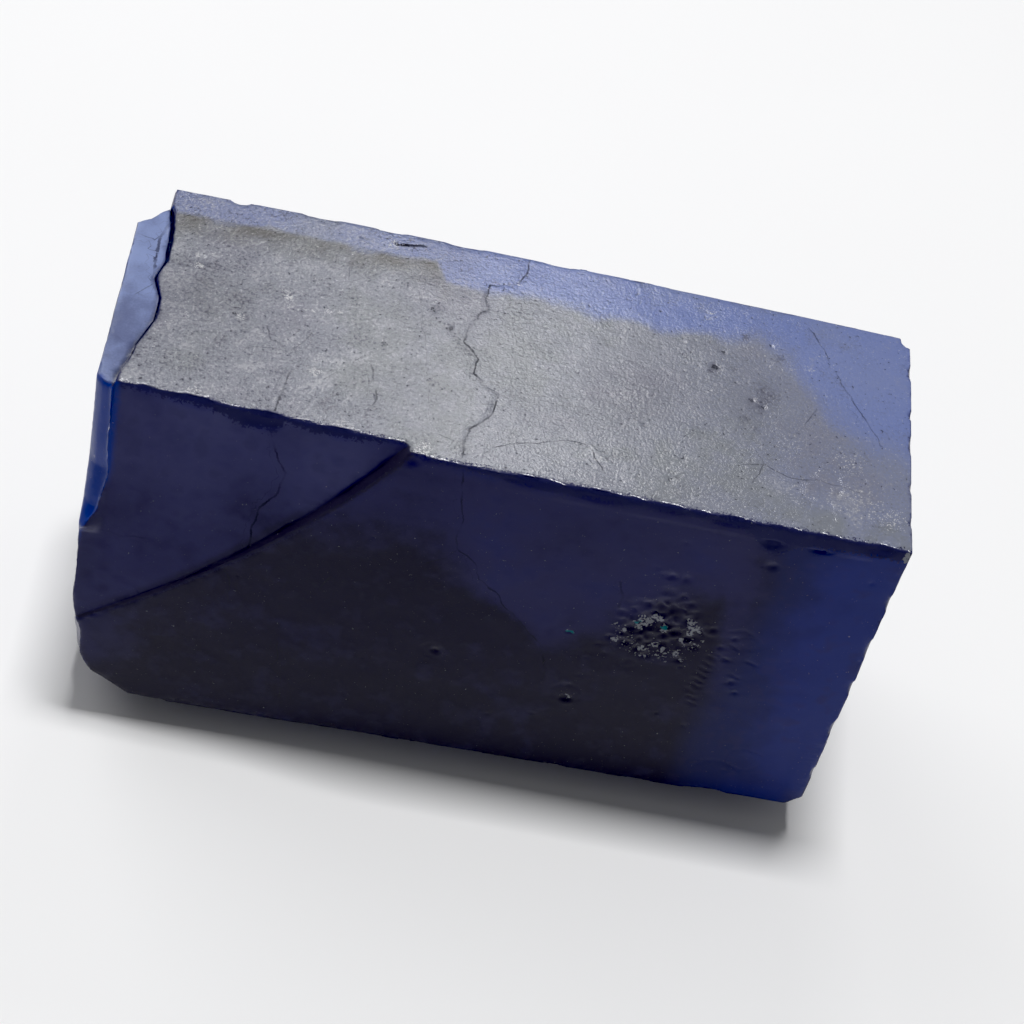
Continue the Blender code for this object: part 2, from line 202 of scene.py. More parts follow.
# Hairlines over the top: points in X and Y, half width and strength. Lines of one list keep
# about a millimetre apart, because each point of the stone knows only the nearest line of a list.
MAIN_CRACK = (
    (-0.4, 12.4), (-0.5, 10.5), (-1.2, 8.9), (-2, 8.5), (-3.4, 8.2), (-3.5, 6.8), (-3.2, 5.2), (-3.9, 4.7),
    (-4, 3.6), (-4.6, 2.6), (-4.9, 0.9), (-4.1, 0.1), (-3.5, -0.6), (-3.8, -2.3), (-2.5, -3.4), (-1.5, -4),
    (-1.6, -4.9), (-1.9, -6.4), (-2.4, -7.3), (-3.4, -8.3), (-3.5, -9.5), (-3.5, -12.5),
)
TOP_LINES = (
    (MAIN_CRACK, 0.11, 0.85),
    (((-20.3, -1.5), (-19.6, -2.8), (-18.8, -3.3), (-18, -3.6), (-17.5, -2.9), (-17, -1.9), (-16.6, -1)),
     0.09, 0.85),
    (((0.3, -8.9), (2, -8.4), (4.2, -7.6), (5.6, -7.4), (6.1, -8.1), (6.8, -9.2), (7.3, -10)), 0.08, 0.85),
    (((-9, 6), (-8.6, 3.7), (-7.7, -0.1), (-7.3, -3.4), (-6.5, -8.2)), 0.045, 0.45),
    (((-11.8, -3.5), (-11.5, -4.3), (-11.4, -5.3)), 0.13, 0.8),
    (((-11, -5.9), (-10.8, -6.8), (-11, -7.9)), 0.1, 0.6),
    (((18, -6.6), (20.1, -5.9), (21.8, -7), (24.4, -6.6), (28, -7.2)), 0.07, 0.6),
    (((9.2, -3.4), (9.9, -5.2), (9.4, -6.4), (10.1, -8), (9.9, -9.8)), 0.06, 0.5),
    (((23.2, 11.1), (24.5, 8.4), (25.3, 6.3), (26.5, 4), (28.1, 0.9), (29.5, -1.7)), 0.09, 0.65),
    (((-14.7, 7.6), (-14.9, 6.6), (-14.8, 5.5)), 0.06, 0.5),
    (((24, 1.2), (22.9, -1.2), (21.9, -2.9)), 0.08, 0.45),
)
TOP_BRANCHES = (
    (((-17.7, -3.2), (-17.2, -4.4), (-17.2, -5), (-17.7, -5.9), (-18, -7.6), (-18.3, -9.8), (-18.4, -12.4)),
     0.1, 0.85),
    (((-21.8, -5), (-21.5, -4.3), (-20.6, -3.9), (-19.2, -3.7), (-18.2, -3.7)), 0.07, 0.65),
    (((-0.8, -2.6), (-0.9, -3.5), (-1.5, -4.1)), 0.06, 0.6),
    (((-3.5, 5.1), (-1.6, 5.5), (1, 5.8)), 0.11, 0.5),
    (((-2.9, -5.6), (-1.7, -5.2)), 0.06, 0.5),
    (((-1.2, -9.7), (0.3, -8.9)), 0.07, 0.8),
    (((0.1, -9.1), (0.7, -10.3)), 0.05, 0.6),
    (((-5.7, -9.6), (-4.6, -9.8), (-3.6, -9.7)), 0.08, 0.7),
    (((18.9, -4.6), (20, -5.9), (19, -8.3)), 0.07, 0.55),
    (((-22.6, -3.2), (-20.9, -1.4)), 0.05, 0.55),
    (((-15.2, -6.2), (-12.7, -3)), 0.045, 0.5),
    (((-14.6, -7.6), (-12.4, -4.4)), 0.045, 0.4),
    (((-25.6, -4.9), (-23.4, -4.3)), 0.045, 0.45),
    (((-16.4, -2.6), (-12.5, -4.2), (-9, -5)), 0.045, 0.4),
    (((-14.5, 10.8), (-13.6, 10.75)), 0.26, 1.2),
    (((-11.8, 10.9), (-11.2, 10.8), (-9.4, 11.3), (-8.7, 11.4)), 0.2, 1.1),
    (((4, 3.2), (5.2, 2.6), (5, 1.4)), 0.05, 0.4),
    (((12.4, 1.2), (13.4, -0.6), (13, -2)), 0.05, 0.35),
)
# Pits in the top: X, Y, radius and depth.
TOP_PITS = (
    (-10.9, -0.8, 0.42, 0.14), (-8.4, 0.7, 0.3, 0.12), (-7.6, 4, 0.55, 0.08), (-6.1, 2.2, 0.5, 0.1),
    (-1.9, 1.7, 0.16, 0.12), (10.3, -4, 0.2, 0.2), (-22.9, -0.7, 0.38, 0.22), (-12.6, -9.3, 0.35, 0.12),
    (-13.9, -7.3, 0.3, 0.1), (15.6, 3.8, 0.6, 0.08), (16.1, 5.7, 0.4, 0.1), (18.6, 0.8, 0.5, 0.09),
    (20, 7.6, 0.3, 0.12), (17.4, 2.4, 0.36, 0.08), (19.6, 0.2, 0.36, 0.1), (25.8, -7.6, 0.26, 0.18),
    (-5.4, 6.2, 0.2, 0.12), (7, -1.4, 0.15, 0.15), (1.4, 4.6, 0.12, 0.15), (12.6, -9.6, 0.34, 0.08),
    (13.4, -7.1, 0.3, 0.08), (-25.1, -7.6, 0.2, 0.08), (24.6, 3, 0.18, 0.14), (4.6, 3.1, 0.14, 0.14),
)
# Paler and darker patches of the top: X, Y, radius and how much paler.
TOP_SHADES = (
    (15.6, 3.8, 0.7, -0.45), (15.2, 3.2, 0.5, -0.35), (19.9, 1.9, 1.5, -0.45), (19.1, 0.3, 1.2, -0.4),
    (18.3, -1.4, 0.6, -0.5), (19.1, -2.4, 0.5, -0.5), (13.1, 4.5, 0.5, -0.4), (18, 7.9, 0.5, -0.55),
    (20.9, 6.2, 0.6, -0.45), (17.1, 4, 0.5, -0.35), (-7.3, 4.4, 0.8, -0.45), (-6.1, 2.6, 0.8, -0.45),
    (-5.9, 1.4, 0.6, -0.35), (-11.4, -9.2, 1.9, -0.28), (-14.6, -8.2, 1.6, -0.22), (-10.9, -7, 0.7, -0.35),
    (-18.6, -5.6, 1.2, -0.22), (0.8, 2.2, 1.4, -0.15), (8.2, -8.6, 1, -0.22), (13.4, -10.9, 0.8, -0.3),
    (-16.5, 1.4, 2.4, 0.22), (-13.6, -4, 2.6, 0.18), (-17.6, -2.4, 1.4, 0.3), (-20.6, -6.4, 2.2, 0.18),
    (5.8, -8.2, 2.2, 0.22), (4, 1.6, 2.2, 0.18), (26.5, -8.6, 3, 0.25), (21, -8.8, 2.2, 0.18),
    (24.2, 7.2, 1.4, 0.14), (-12.2, -9.9, 1, 0.3),
)
# Painted sheen and shade of the film as a whole, paler where the sheen is strongest and darker where it falls
# off: X, Y, radius and how much paler.
TOP_SHEEN_TONES = (
    (-26, 0.6, 3.4, -0.2), (-25, -1, 8.5, -0.16), (-5.2, -5.7, 5, 0.05), (8.1, -1.8, 5, -0.24),
    (1.5, -5, 4.5, -0.14), (18.6, 0, 5, -0.12), (14.6, -3.6, 4, 0.02), (-7.5, 11.2, 3.5, -0.18),
    (28, 6, 7, 0.1), (-3, 3, 5, -0.06),
)
# Scrapes that show paler: points in X and Y, and width.
TOP_SCRAPES = (
    (((6, 9.4), (8.4, 8.3), (10.3, 7.5)), 0.32), (((-28.6, -1), (-26, -1.1)), 0.22),
    (((-14.6, -3.8), (-12.4, -3.5), (-10.6, -3.6)), 0.28), (((6.4, -8), (7.8, -9.4)), 0.3),
    (((-16.3, -8.1), (-15, -5.2)), 0.22), (((-16.4, -10.6), (-14.2, -5.4)), 0.22),
    (((-18.6, -9.6), (-17.9, -6.6)), 0.22), (((-13.4, -9), (-12.4, -5.6)), 0.2),
    (((-24.8, -4), (-22.4, -2)), 0.16), (((-20.8, -8.8), (-19, -6.6)), 0.22),
    (((-26.8, 5.1), (-26.2, 5.6), (-25.4, 5.4)), 0.2), (((-21.9, -6.4), (-18.4, -5.2)), 0.25),
)
# Where painted glints gather on the film: X, Y, radius and strength.
TOP_SPARKLES = (
    (-19.4, 2.9, 0.45, 0.55), (-19.1, 2.3, 0.6, 0.7), (-26.5, 3.8, 0.45, 0.75), (-26.9, 5, 0.4, 0.55),
    (-25.8, 5.5, 0.45, 0.55), (-22.5, -1, 0.5, 0.6), (-26.6, -2, 0.45, 0.55), (-24.2, -1.6, 0.3, 0.6),
    (-27.8, -3.2, 0.4, 0.5), (-19, 1.3, 0.45, 0.5), (-17, 1.3, 0.55, 0.5), (-15.8, 1.5, 0.5, 0.6),
    (-14.9, 1.7, 0.35, 0.7), (-17.4, -2.6, 1.1, 0.32), (-15.9, -5.4, 0.75, 0.55), (-22.6, 4.6, 0.35, 0.5),
    (-16.8, 5, 0.35, 0.55), (-11.7, 10.9, 0.9, 0.55), (7.2, -8.9, 0.9, 0.42), (4.6, 1.2, 1.6, 0.26),
    (3, 0.4, 1.4, 0.24), (15.1, 10.1, 0.45, 0.6), (14.8, 9.5, 0.45, 0.6), (21.9, 5.2, 0.3, 0.6),
    (23.3, 5.6, 0.45, 0.6), (24.4, 7.4, 1.1, 0.32), (22, -3.2, 2.2, 0.34), (26.6, -4.2, 2.6, 0.36),
    (27.5, -8.4, 3.6, 0.34), (22.6, -8.4, 2.6, 0.3), (17.8, -9.6, 1.8, 0.28), (30.2, -9.4, 2, 0.42),
    (-1, 9, 0.3, 0.55), (-13, -10.4, 1.2, 0.42), (-24.6, -9.9, 1, 0.55), (-6.6, -11.3, 1.2, 0.5),
)
# The crescent pit at the left of the top, and how far apart the scratches of the comb are.
CRESCENT = (-26.2, 4.6)
CRESCENT_RADIUS = 0.8
COMB_STEP = 0.4
# How crisp the grain of the top is: X, and strength there.
TOP_CRISP = ((-30, -12, -2, 10, 30), (1.5, 1.15, 0.85, 0.66, 0.52))
# The grey film's back border, behind which the top is painted blue, as a glow of light through the thin back
# edge: X, and Y there.
FILM_BORDER = ((-29, -8, -7, 0, 6, 12, 19, 22, 25, 33), (9.4, 9.5, 7.3, 7.3, 6.6, 7.0, 7.6, 5.0, 0.0, -5.0))
# The front is painted blue, as a glow of light, above this border and near black below it: X, and Z there.
BLUE_BORDER = ((-33, -22, -9, -3, 2, 6, 10, 15, 19, 22, 26, 33),
               (25, 25, 28, 26, 21, 17, 19, 24, 25, 10, -9, -9))
# Veins over the flake beyond the open crack, in X and Y.
FLAKE_LINES = (
    (((-29.7, 8.4), (-30.2, 6.4), (-30.15, 4), (-29.95, 2.4), (-29.5, 1.5)), 0.17, 0.9),
    (((-31.9, 6.5), (-31.3, 6.3), (-30.7, 6.2), (-30.2, 6.2)), 0.07, 0.6),
    (((-30.9, -0.4), (-30.7, -0.2), (-29.9, 0.8), (-29.7, 1.2)), 0.07, 0.5),
    (((-32.3, -4.6), (-31.6, -5.2), (-31, -6)), 0.45, 0.7),
)
# Cracks over the front, in X and Z, in the same way.
FRONT_LINES = (
    (((-18.1, 33.8), (-17.3, 31), (-16.7, 29.9), (-17.1, 27.5), (-18.2, 25.9), (-18.5, 23.8), (-18.6, 20.4)),
      0.12, 0.95),
    (((-20.2, 18.4), (-19.6, 17), (-19.5, 14.5)), 0.08, 0.5),
    (((-14.9, 10.4), (-14.8, 8.1), (-15, 7.1), (-14.2, 5.8), (-14.1, 3)), 0.08, 0.6),
    (((-3.5, 35.3), (-2.5, 29.5), (-2.6, 27), (-2.3, 25.9), (-1.2, 25.3), (-0.6, 24.7), (-0.1, 22.9),
      (1.6, 21.6), (2.5, 19.9), (3.6, 19.2), (5, 17.6), (6.2, 16.2), (6.8, 14.6), (7.3, 11.6)), 0.09, 0.75),
    (((-30.7, 19.6), (-28.6, 19.4), (-26.6, 19.9)), 0.12, 0.4),
    (((10.9, 26.1), (11.4, 24), (11.5, 22.7)), 0.15, 0.5),
)
FRONT_BRANCHES = (
    (((-2.4, 25.9), (-3, 24.8), (-4.4, 23.8)), 0.07, 0.5),
    (((-11.8, 19.8), (-12.4, 18)), 0.1, 0.5),
)
# The lower border of the broken rim below the top front edge, in X and Z.
RIM_BORDER = (
    (-33, 34.4), (-30.8, 35.2), (-28, 35.3), (-26.2, 35.1), (-23.1, 35), (-21.6, 34.6), (-20.7, 34),
    (-18, 34), (-17.3, 35.2), (-15.5, 35), (-13, 34.9), (-11, 35.2), (-8.4, 35.6), (-6.4, 35.5),
    (-2.1, 35.3), (1, 34.9), (4.3, 34.7), (7, 35), (9, 34.7), (13, 35.1), (18.4, 34.9), (19.6, 34.4),
    (20.6, 33), (21.6, 32.4), (22.8, 33.6), (24, 34.2), (27.2, 34.5), (33, 34.7),
)
# Pits in the front: X, Z, radius and depth.
FRONT_PITS = (
    (9.7, 9.7, 0.55, 0.08), (9.2, 11.4, 0.35, 0.08), (22.9, 15.8, 0.25, 0.12), (23, 14.4, 0.3, 0.14),
    (13.2, 28.4, 0.3, 0.1), (21.3, 21.4, 0.16, 0.14), (10.9, 17.8, 0.28, 0.08), (13.4, 16, 0.4, 0.05),
    (14.9, 31.9, 0.3, 0.12), (21.9, 31.2, 0.55, 0.22), (29.8, 31.3, 0.35, 0.1), (-21, 20.5, 0.12, 0.1),
    (-19, 18, 0.14, 0.1), (-21, 26.5, 0.1, 0.1), (10, 13.2, 0.26, 0.1), (7.1, 6.8, 0.22, 0.1),
    (3.6, 5.6, 0.24, 0.1), (17.3, 9.8, 0.14, 0.12), (-9, 25.7, 0.24, 0.1), (26.2, 19.7, 0.16, 0.1),
    (11.4, 16.6, 0.24, 0.1), (12.3, 18, 0.3, 0.12), (20, 8.6, 0.3, 0.1), (24.6, 3.4, 0.3, 0.08),
)
# Two scratches of the front: points in X and Z, half width and depth.
FRONT_SCRATCHES = (
    (((21.8, 3.4), (23, 4.4), (24.6, 4.6), (25.8, 4)), 0.2, 0.03),
    (((20.6, 22.2), (21.6, 22.6), (22.6, 22.3)), 0.15, 0.03),
)
# Shallow ring marks in the front: X, Z and radius.
FRONT_RINGS = (
    (-2.4, 13, 0.85), (10, 16, 0.5), (13.6, 15.8, 0.6), (9.5, 10.4, 1.3), (22.6, 21.2, 0.9), (26, 5.4, 1.6),
)
# The fishbone row of slanting nicks right of the cluster: X and Z of each.
FISHBONE = (
    (20.3, 19.2), (20.1, 18.4), (19.9, 17.6), (19.8, 16.8), (19.7, 16), (19.6, 15.2), (19.5, 14.4),
    (19.4, 13.6), (19.6, 12.8), (19.8, 12), (22.4, 16.6), (22.2, 15.3), (23.3, 18.6), (21.6, 20.3),
)
# The crumbly hollow: its middle and half sizes in X and Z.
CRUMBS = (15.2, 21.0, 3.9, 4.2)
# White crumbs, teal crumbs and dark pores in and around it: X, Z and radius.
WHITE_CRUMBS = (
    (13.8, 21.5, 0.75), (13.5, 20.8, 0.45), (14.8, 22.2, 0.45), (15.4, 21, 0.55), (17.5, 22.3, 0.6),
    (18, 21.7, 0.5), (17.7, 20.9, 0.4), (17.1, 20, 0.4), (14.2, 18, 0.4), (15.9, 18.2, 0.45),
    (17.1, 18.1, 0.45), (17.9, 17.5, 0.35), (15.2, 18.9, 0.4), (12.6, 20, 0.25), (11.9, 18.6, 0.25),
    (9.7, 9.9, 0.3),
)
TEAL_CRUMBS = ((15.3, 21.2, 0.55), (13.2, 21.3, 0.4), (8.15, 18.45, 0.5))
DARK_PORES = (
    (13.5, 23.7, 0.45), (14.5, 24.1, 0.4), (16.3, 24.5, 0.4), (14.3, 27.7, 0.6), (15.8, 27.6, 0.45),
    (14.9, 25.8, 0.65), (16.1, 25.5, 0.35), (17.8, 16.6, 0.25), (21.2, 18.6, 0.35),
)
# White chips on the edges: X, Y, Z and radius.
WHITE_CHIPS = (
    (-31.7, -10.3, 21.4, 0.4), (-31.8, -10.6, 20.3, 0.5), (-31.9, -10.9, 19.4, 0.45),
    (31.6, -12.2, 35.3, 0.5), (31.5, -12.3, 34.8, 0.4), (-30.6, -11.9, 2.2, 0.3), (-29.6, -11.8, -0.6, 0.25),
)

# The CAD's pits in the front: X, Z and radius of the single ones, then the cluster's middle, the space
# between its pits, how much wider than high it is, and the number and the radius of its pits.
CAD_PITS = (
    (9.6, 9.7, 0.6), (-2, 13, 0.5), (22.3, 15.7, 0.45), (14.7, 27.6, 0.5), (8.2, 18.5, 0.35),
    (21.3, 21.4, 0.4),
)
PIT_CLUSTER = (15.6, 20.9)
PIT_SPACING = 1.18
PIT_STRETCH = 1.15
PIT_COUNT = 14
PIT_RADIUS = 0.56

# Where the break down the left front corner begins.
BREAK_RIGHT = -30.3

# The ledge across the front: the ends and the bend of its curve in X and Z, and X and height of its wall.
LEDGE_LOW = (-31.5, 9.2)
LEDGE_BEND = (-16.9, 20.5)
LEDGE_HIGH = (-8.0, 35.4)
LEDGE_WALL = ((-31.0, -24.0, -18.0, -12.0, -8.0), (0.3, 0.42, 0.6, 0.75, 0.8))

# The open crack at the left end of the top.
OPEN_CRACK = (
    (-29.9, 12.2), (-29.9, 10.2), (-29.4, 7.5), (-29.2, 3.7), (-29.7, 1.7), (-28.9, -0.6), (-28.9, -3.1),
    (-29.8, -6), (-29.9, -7.2), (-30.5, -9.6), (-30.8, -12),
)


def front_edge(x):
    """Where the top front edge is, in Y."""
    return np.interp(x, (-32, -8.2, -7.6, 32), (-10.6, -11.2, -12.2, -12.5))


def front_hollows():
    """The pits of the CAD in the front: X, Z and radius."""
    pits = list(CAD_PITS)
    middle_x, middle_z = PIT_CLUSTER
    for i in range(PIT_COUNT):
        reach = PIT_SPACING * math.sqrt(i + 0.5)
        angle = i * math.pi * (3 - math.sqrt(5))
        x = middle_x + PIT_STRETCH * reach * math.cos(angle)
        pits.append((x, middle_z + reach * math.sin(angle), PIT_RADIUS))
    return pits


def ledge_route():
    steps = 24
    route = []
    for i in range(steps + 1):
        t = i / steps
        route.append(tuple((1 - t) ** 2 * a + 2 * t * (1 - t) * b + t ** 2 * c
                           for a, b, c in zip(LEDGE_LOW, LEDGE_BEND, LEDGE_HIGH)))
    return route


def on_face(mask, mark, *facts):
    """A face's own relief, worked out only where that face is."""
    chosen = np.nonzero(mask > 0.01)[0]
    total = np.zeros(len(mask))
    if len(chosen):
        total[chosen] = mark(chosen, *facts)
    return mask * total


def raise_to(field, chosen, value):
    field[chosen] = np.maximum(field[chosen], value)


def groove(distance, width, depth):
    return -depth * np.exp(-(distance / width) ** 2)


def bowl(distance, radius, depth):
    return -depth * np.clip(1 - (distance / radius) ** 2, 0, 1)


def signed_distance(u, v, route):
    """Distance to a route, positive on its left, and whether the nearest place is between its ends."""
    best = np.full(len(u), 99.0)
    side = np.ones(len(u))
    within = np.zeros(len(u), dtype=bool)
    last = len(route) - 2
    for i, ((ax, ay), (bx, by)) in enumerate(zip(route, route[1:])):
        dx, dy = bx - ax, by - ay
        t = ((u - ax) * dx + (v - ay) * dy) / (dx * dx + dy * dy)
        inside = ((t >= 0) | (i > 0)) & ((t <= 1) | (i < last))
        t = np.clip(t, 0, 1)
        far = np.hypot(u - ax - t * dx, v - ay - t * dy)
        near = far < best
        best = np.where(near, far, best)
        side = np.where(near, np.sign(dx * (v - ay) - dy * (u - ax)), side)
        within = np.where(near, inside, within)
    return best * side, within


def route_distance(u, v, route):
    """Distance from each point to a route over a face, in millimetres."""
    return np.abs(signed_distance(u, v, route)[0])


def nearest_line(u, v, lines):
    """For the nearest line: distance over half width, signed so that it blends across, and strength."""
    best = np.full(len(u), LINE_REACH)
    ratio = np.full(len(u), NO_LINE)
    strength = np.zeros(len(u))
    for route, width, amount in lines:
        far, within = signed_distance(u, v, route)
        near = np.abs(far) < best
        best = np.where(near, np.abs(far), best)
        ratio = np.where(near, np.clip(far / width, -NO_LINE, NO_LINE), ratio)
        strength = np.where(near, amount * within, strength)
    return ratio, strength


def face_masks(x, y, z, normals):
    """How far each point is on the top, the front, the flake and the strip at the left break, from 0 to 1."""
    nx, ny, nz = normals.T
    top = ramp(0.75, 0.93, nz) * ramp(HEIGHT - 2.2, HEIGHT - 1.4, z)
    front = ramp(0.72, 0.92, -ny) * ramp(-8, -9.5, y)
    crack_x = np.interp(y, [b for a, b in reversed(OPEN_CRACK)], [a for a, b in reversed(OPEN_CRACK)])
    flake = ramp(0.05, 0.3, crack_x - x) * ramp(32, 33.5, z) * ramp(0.5, 0.8, nz)
    top = top * (1 - ramp(0, 0.3, crack_x - x))
    strip = ramp(-0.25, -0.45, nx) * ramp(-0.2, -0.4, ny) * ramp(-27, -29, x)
    beside = ramp(-29.9, -30.4, x) * ramp(-6, -8, y) * ramp(0.75, 0.6, nz)
    beside = beside * np.maximum(ramp(-0.2, -0.35, nx), ramp(24, 27, z))
    strip = np.maximum(strip, beside) * ramp(17, 20, z)
    return top, front, flake, strip


def broken_relief(x, y, z, p):
    """Broken sides: low steps and a coarser grain, calmer near the top and the upright right edge."""
    steps = fractal(p * np.array([0.6, 1.0, 1.4]), 6.0, 3, 31) * 3.0
    stepped = (np.floor(steps) + ramp(0.55, 1, steps - np.floor(steps))) / 3.0
    calm = ramp(HEIGHT + 0.3, HEIGHT - 3, z) * (1 - 0.7 * ramp(25, 28, x) * ramp(-9.5, -11.5, y))
    grain = 0.22 * stepped + 0.1 * fractal(p, 2.2, 3, 41) + 0.03 * fractal(p, 0.7, 2, 45) - 0.1
    return calm, grain


def mark_top(chosen, p, wander, fields):
    """Marks of the worn top, seen from above. U and V are X and Y, shifted so that outlines are ragged."""
    q = p[chosen]
    x, y = q[:, 0], q[:, 1]
    u = x + wander[chosen, 0]
    v = y + wander[chosen, 1]
    pit, shade, sheen_tone, spark, mottle = (fields[name] for name in ("pit", "shade", "sheen_tone", "spark", "mottle"))
    total = groove(route_distance(x, y, MAIN_CRACK), 0.14, 0.03)
    for a, b, radius, depth in TOP_PITS:
        far = np.hypot(u - a, v - b)
        total += bowl(far, radius, 0.4 * depth)
        raise_to(pit, chosen, 0.8 * ramp(1.2 * radius, 0.1 * radius, far))
    # A crescent pit with a raised rim, and the comb of scratches.
    far = np.hypot(x - CRESCENT[0], y - CRESCENT[1])
    rim = 0.05 * np.exp(-((far - CRESCENT_RADIUS) / 0.16) ** 2) * (x < CRESCENT[0] + 0.6)
    total += bowl(far, CRESCENT_RADIUS, 0.08) + rim
    comb = ramp(14.4, 15, u) * ramp(20.6, 20, u) * ramp(-4.6, -4.1, v) * ramp(-2.2, -2.7, v)
    total += -0.014 * comb * (0.5 + 0.5 * np.cos(2 * math.pi * x / COMB_STEP))
    for route in (MAIN_CRACK, TOP_LINES[1][0], TOP_BRANCHES[0][0]):
        shade[chosen] -= 0.32 * ramp(0.7, 0.1, route_distance(u, v, route)) * ramp(-0.3, 0.3, mottle[chosen])
    for a, b, radius, amount in TOP_SHADES:
        shade[chosen] += amount * ramp(1.2 * radius, 0.2 * radius, np.hypot(u - a, v - b))
    # Painted sheen and shade of the film.
    for a, b, radius, amount in TOP_SHEEN_TONES:
        sheen_tone[chosen] += amount * ramp(1.2 * radius, 0, np.hypot(u - a, v - b))
    for route, width in TOP_SCRAPES:
        far = route_distance(u, v, route)
        shade[chosen] += 0.35 * ramp(1.2 * width, 0.2 * width, far)
        total -= groove(far, width, 0.02)
    for a, b, radius, amount in TOP_SPARKLES:
        raise_to(spark, chosen, amount * ramp(1.3 * radius, 0.3 * radius, np.hypot(u - a, v - b)))
    total += 0.04 * spark[chosen] * lattice_noise(q, 0.4, 67)
    # Fine crumbs at the sandy right front corner, and long low swells.
    sandy = ramp(20, 25, u) * ramp(-3.8, -6, v)
    total += 0.03 * sandy * lattice_noise(q, 0.35, 61)
    total += 0.03 * fractal(q * np.array([0.5, 1.0, 1.0]), 1.6, 3, 65)
    return total


def mark_front(chosen, p, wander, fields):
    """Marks of the front. U and V are X and Z, shifted in the same way."""
    q = p[chosen]
    u = q[:, 0] + wander[chosen, 0]
    v = q[:, 2] + wander[chosen, 1]
    pit = fields["pit"]
    total = 0.01 * fractal(q, 2.4, 2, 71)
    for a, b, radius, depth in FRONT_PITS:
        far = np.hypot(u - a, v - b)
        total += bowl(far, radius, 0.4 * depth)
        raise_to(pit, chosen, 0.36 * ramp(1.3 * radius, 0.3 * radius, far))
    for a, b, radius in DARK_PORES:
        far = np.hypot(u - a, v - b)
        total += bowl(far, radius, 0.06)
        raise_to(pit, chosen, 0.42 * ramp(1.2 * radius, 0.4 * radius, far))
    for a, b, radius in FRONT_RINGS:
        far = np.abs(np.hypot(u - a, (v - b) * 1.15) - radius)
        total += groove(far, 0.14, 0.015)
        raise_to(pit, chosen, 0.46 * ramp(0.34, 0.05, far))
    for a, b in FISHBONE:
        far = route_distance(u, v, [(a - 0.36, b + 0.22), (a + 0.36, b - 0.18)])
        total += groove(far, 0.16, 0.04)
        raise_to(pit, chosen, 0.5 * ramp(0.3, 0.05, far))
    for route, width, depth in FRONT_SCRATCHES:
        total += groove(route_distance(u, v, route), width, depth)
    cx, cz, rx, rz = CRUMBS
    inside = np.hypot((u - cx) / rx, (v - cz) / rz)
    hollow = ramp(1.1, 0.6, inside + 0.35 * fractal(q, 1.6, 2, 81))
    lumps = fractal(q, 0.6, 2, 85)
    total += hollow * (-0.05 + 0.16 * lumps)
    # Loose crumbs lie thickest along the lower side of the hollow.
    amount = 0.34 * ramp(0.35, 0.8, inside) * ramp(1.15, 0.95, inside) * ramp(1.5, -1, v - cz)
    amount = np.maximum(amount, 0.1 * hollow)
    for a, b, radius in WHITE_CRUMBS:
        amount = np.maximum(amount, 0.66 * ramp(1.6 * radius, 0.4 * radius, np.hypot(u - a, v - b)))
    for a, b, radius in TEAL_CRUMBS:
        near = ramp(1.2 * radius, 0.5 * radius, np.hypot(u - a, 1.6 * (v - b)))
        raise_to(fields["teal"], chosen, near)
        amount = np.maximum(amount, 0.8 * near)
    fields["chalk"][chosen] = amount
    # The low places between the hollow's lumps are painted darker, as shade.
    raise_to(pit, chosen, 0.48 * hollow * ramp(0.15, -0.25, lumps))
    return total


def mark_lines(p, fields):
    """Hairlines, a little crooked and of uneven strength."""
    x, y, z = p.T
    crooked = 0.24 * fractal(p, 0.9, 3, 131)
    uneven = np.clip(0.62 + 1.3 * fractal(p, 1.1, 3, 135), 0, 1) * (1 - 0.1 * fields["front"])
    for name, lists in (("first", (TOP_LINES, FRONT_LINES, FLAKE_LINES)),
                        ("second", (TOP_BRANCHES, FRONT_BRANCHES, ()))):
        line = np.full(len(x), NO_LINE)
        darkness = np.zeros(len(x))
        for lines, face, v in zip(lists, ("top", "front", "flake"), (y, z, y)):
            chosen = np.nonzero(fields[face] > 0.5)[0]
            ratio, strength = nearest_line(x[chosen] + crooked[chosen], v[chosen] + crooked[chosen], lines)
            line[chosen] = ratio
            darkness[chosen] = uneven[chosen] * strength * fields[face][chosen]
        fields[name + "_line"] = line
        fields[name + "_dark"] = darkness


